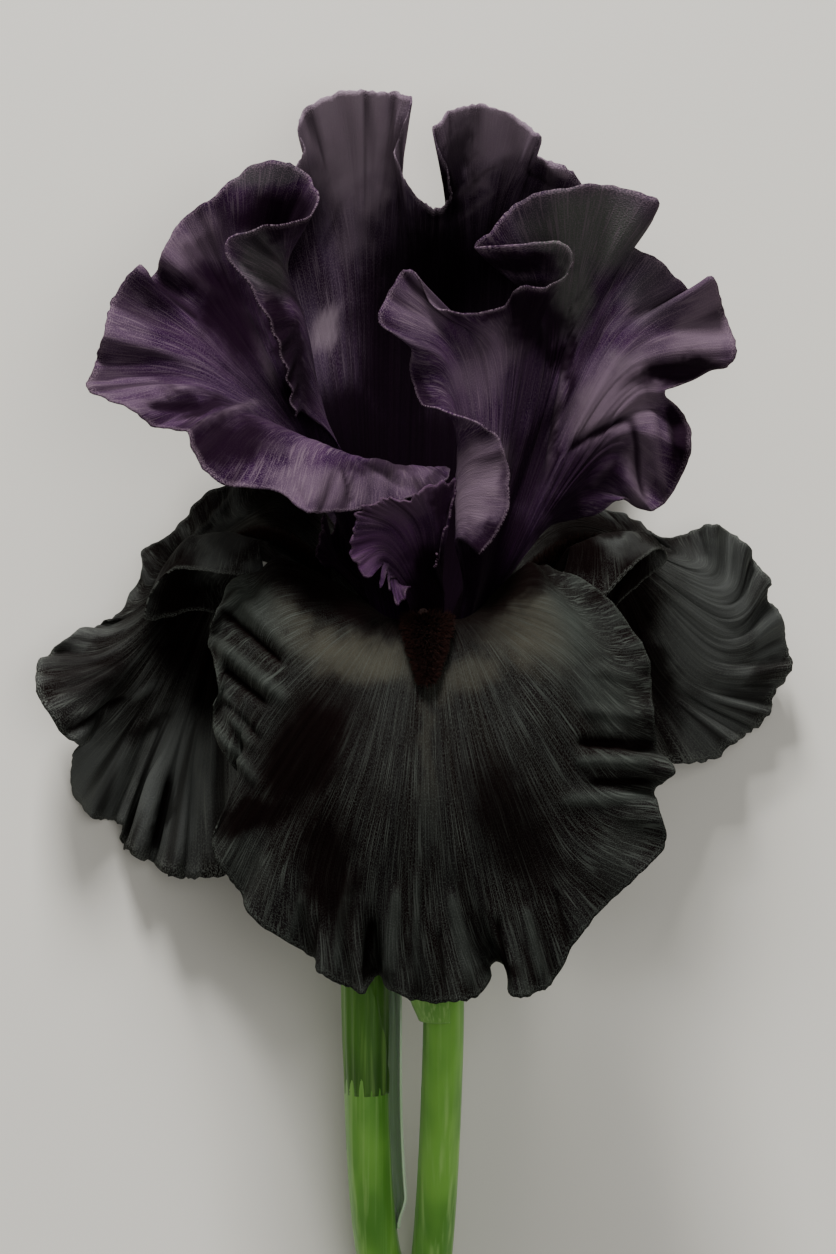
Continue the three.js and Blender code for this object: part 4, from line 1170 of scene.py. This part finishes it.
# The sheath's leaf gives the eye a darker green than the stem it sits on.
bud_green = green_finish(
    "sheathed_bud_green", "#7fa850", "#47781c", "#2c520f", roughness=0.5, stripe_mm=0.7, waxy=0.1
)
bud = wrapped("side_bud_sheath", Surface(bud_point), across=120, along=90, material=bud_green)
finish_piece(bud, "side_spathe")


def side_bract_point(u, v):
    share = u + (0.5 - u) * v ** 4
    turn = math.radians(SIDE_BRACT_BACK + (SIDE_BRACT_FRONT - SIDE_BRACT_BACK) * share)
    clasped = BRANCH_RADIUS + SIDE_BRACT_GAP
    radius = BRANCH_RADIUS + BRACT_THICKNESS + SIDE_BRACT_GAP + SIDE_BRACT_FLARE * u * u
    radius = clasped + (radius - clasped) * eased(v, 0.0, 0.15)
    return spline(side_bract_spine, v) + Vector((math.sin(turn), 0, math.cos(turn))) * radius


side_bract_spine = [Vector(point) for point in SIDE_BRACT_PATH]
# The bract's waxy leaf gives the eye a pale blue-green, lighter than anything round it.
pale_leaf = green_finish(
    "pale_edged_bract", "#e2ecdf", "#c4dbb9", "#a9c89b", roughness=0.5, stripe_mm=0.5, waxy=0.5
)
side_bract = skin(
    "side_bract_leaf", Surface(side_bract_point), across=60, along=90, thickness_mm=BRACT_SKIN,
    material=pale_leaf, waves=[(5, 0.1, 0.2, ALL_ROUND)], crease=0.08, seed=14.9,
)
finish_piece(side_bract, "side_bract")

# %% [markdown]
# ## Beards
# The beard is a strip of short stiff hairs along the middle of each fall. Painted on it would look
# flat, so every hair is a tiny cone of its own, rooted just over the fall and leaning along it.
# They are dark brown with rusty tips.

# %% Beards
BEARD_TAPER = (0.42, 0.94)
HAIR_RADIUS = 0.13
HAIR_TIP_RADIUS = 0.02
HAIR_LIFT = 0.2
HAIR_SPLAY = 1.2
HAIR_STRAY = 0.6
HAIR_LEAN = (0.2, 1.6)
HAIR_LENGTHS = (0.6, 1.0)
ALONG_FALL = 0.004
# The fur gives the eye a soft brown black that turns rusty at the tips of its hairs.
beard_fur, fur_tree, fur_shader = new_finish("dark_brown_beard", Roughness=0.75, Specular_IOR_Level=0.15)
tint_share, tip_share, _ = map_parts(fur_tree, "share")
rust = mixed(fur_tree, tint_share, "#160502", "#260b03")
fur_colour = mixed(fur_tree, ranged(fur_tree, tip_share, 0.3, 1.0), "#050101", rust)
fur_tree.links.new(fur_colour, fur_shader.inputs["Base Color"])


def grow_beard(node, surface, up, width, start, end, seat, height, hairs, seed):
    """Hairs strewn over a strip of a fall: up is 1 or -1, the side of the surface they stand on."""
    chance = random.Random(seed)
    bm = bmesh.new()
    share = bm.loops.layers.uv.new("share")
    for _ in range(hairs):
        s, t = chance.uniform(-1, 1), chance.random()
        v = start + (end - start) * t
        middle = surface(0.5, v)
        across = (surface(0.5 + ALONG_FALL, v) - surface(0.5 - ALONG_FALL, v)).normalized()
        ahead = (surface(0.5, v + ALONG_FALL) - surface(0.5, v - ALONG_FALL)).normalized()
        rise = surface.normal(0.5, v) * up
        taper = BEARD_TAPER[0] + (BEARD_TAPER[1] - BEARD_TAPER[0]) * t
        half_width = 0.5 * width * math.sin(math.pi * taper)
        root = middle + across * (s * half_width) + rise * (seat + HAIR_LIFT)
        sideways = HAIR_SPLAY * s + chance.uniform(-HAIR_STRAY, HAIR_STRAY)
        lean = rise + across * sideways + ahead * chance.uniform(*HAIR_LEAN)
        length = height * (1 - 0.4 * s * s) * chance.uniform(*HAIR_LENGTHS)
        turn = lean.normalized().to_track_quat("Z", "Y").to_matrix().to_4x4()
        place = Matrix.Translation(placed(root + lean.normalized() * length / 2)) @ turn
        made = bmesh.ops.create_cone(
            bm, cap_ends=False, segments=4, radius1=HAIR_RADIUS * MM, radius2=HAIR_TIP_RADIUS * MM,
            depth=length * MM, matrix=place,
        )["verts"]
        tint = chance.random()
        tops = set(sorted(made, key=lambda vert: (place.inverted() @ vert.co).z)[4:])
        for face in {face for vert in made for face in vert.link_faces}:
            for loop in face.loops:
                loop[share].uv = (tint, 1.0 if loop.vert in tops else 0.0)
    finish_piece(new_object(node + "_fur", bm, beard_fur), node)


SIDE_BEARD = {"width": 3.6, "start": 0.3, "end": 0.5, "seat": 1.3, "height": 2.4, "hairs": 1400}
grow_beard(
    "beard_front", fall_front_surface, -1, width=7.4, start=0.23, end=0.365, seat=0.8, height=2.8,
    hairs=3200, seed=21,
)
grow_beard("beard_left", fall_left_surface, 1, seed=22, **SIDE_BEARD)
grow_beard("beard_right", fall_right_surface, -1, seed=23, **SIDE_BEARD)
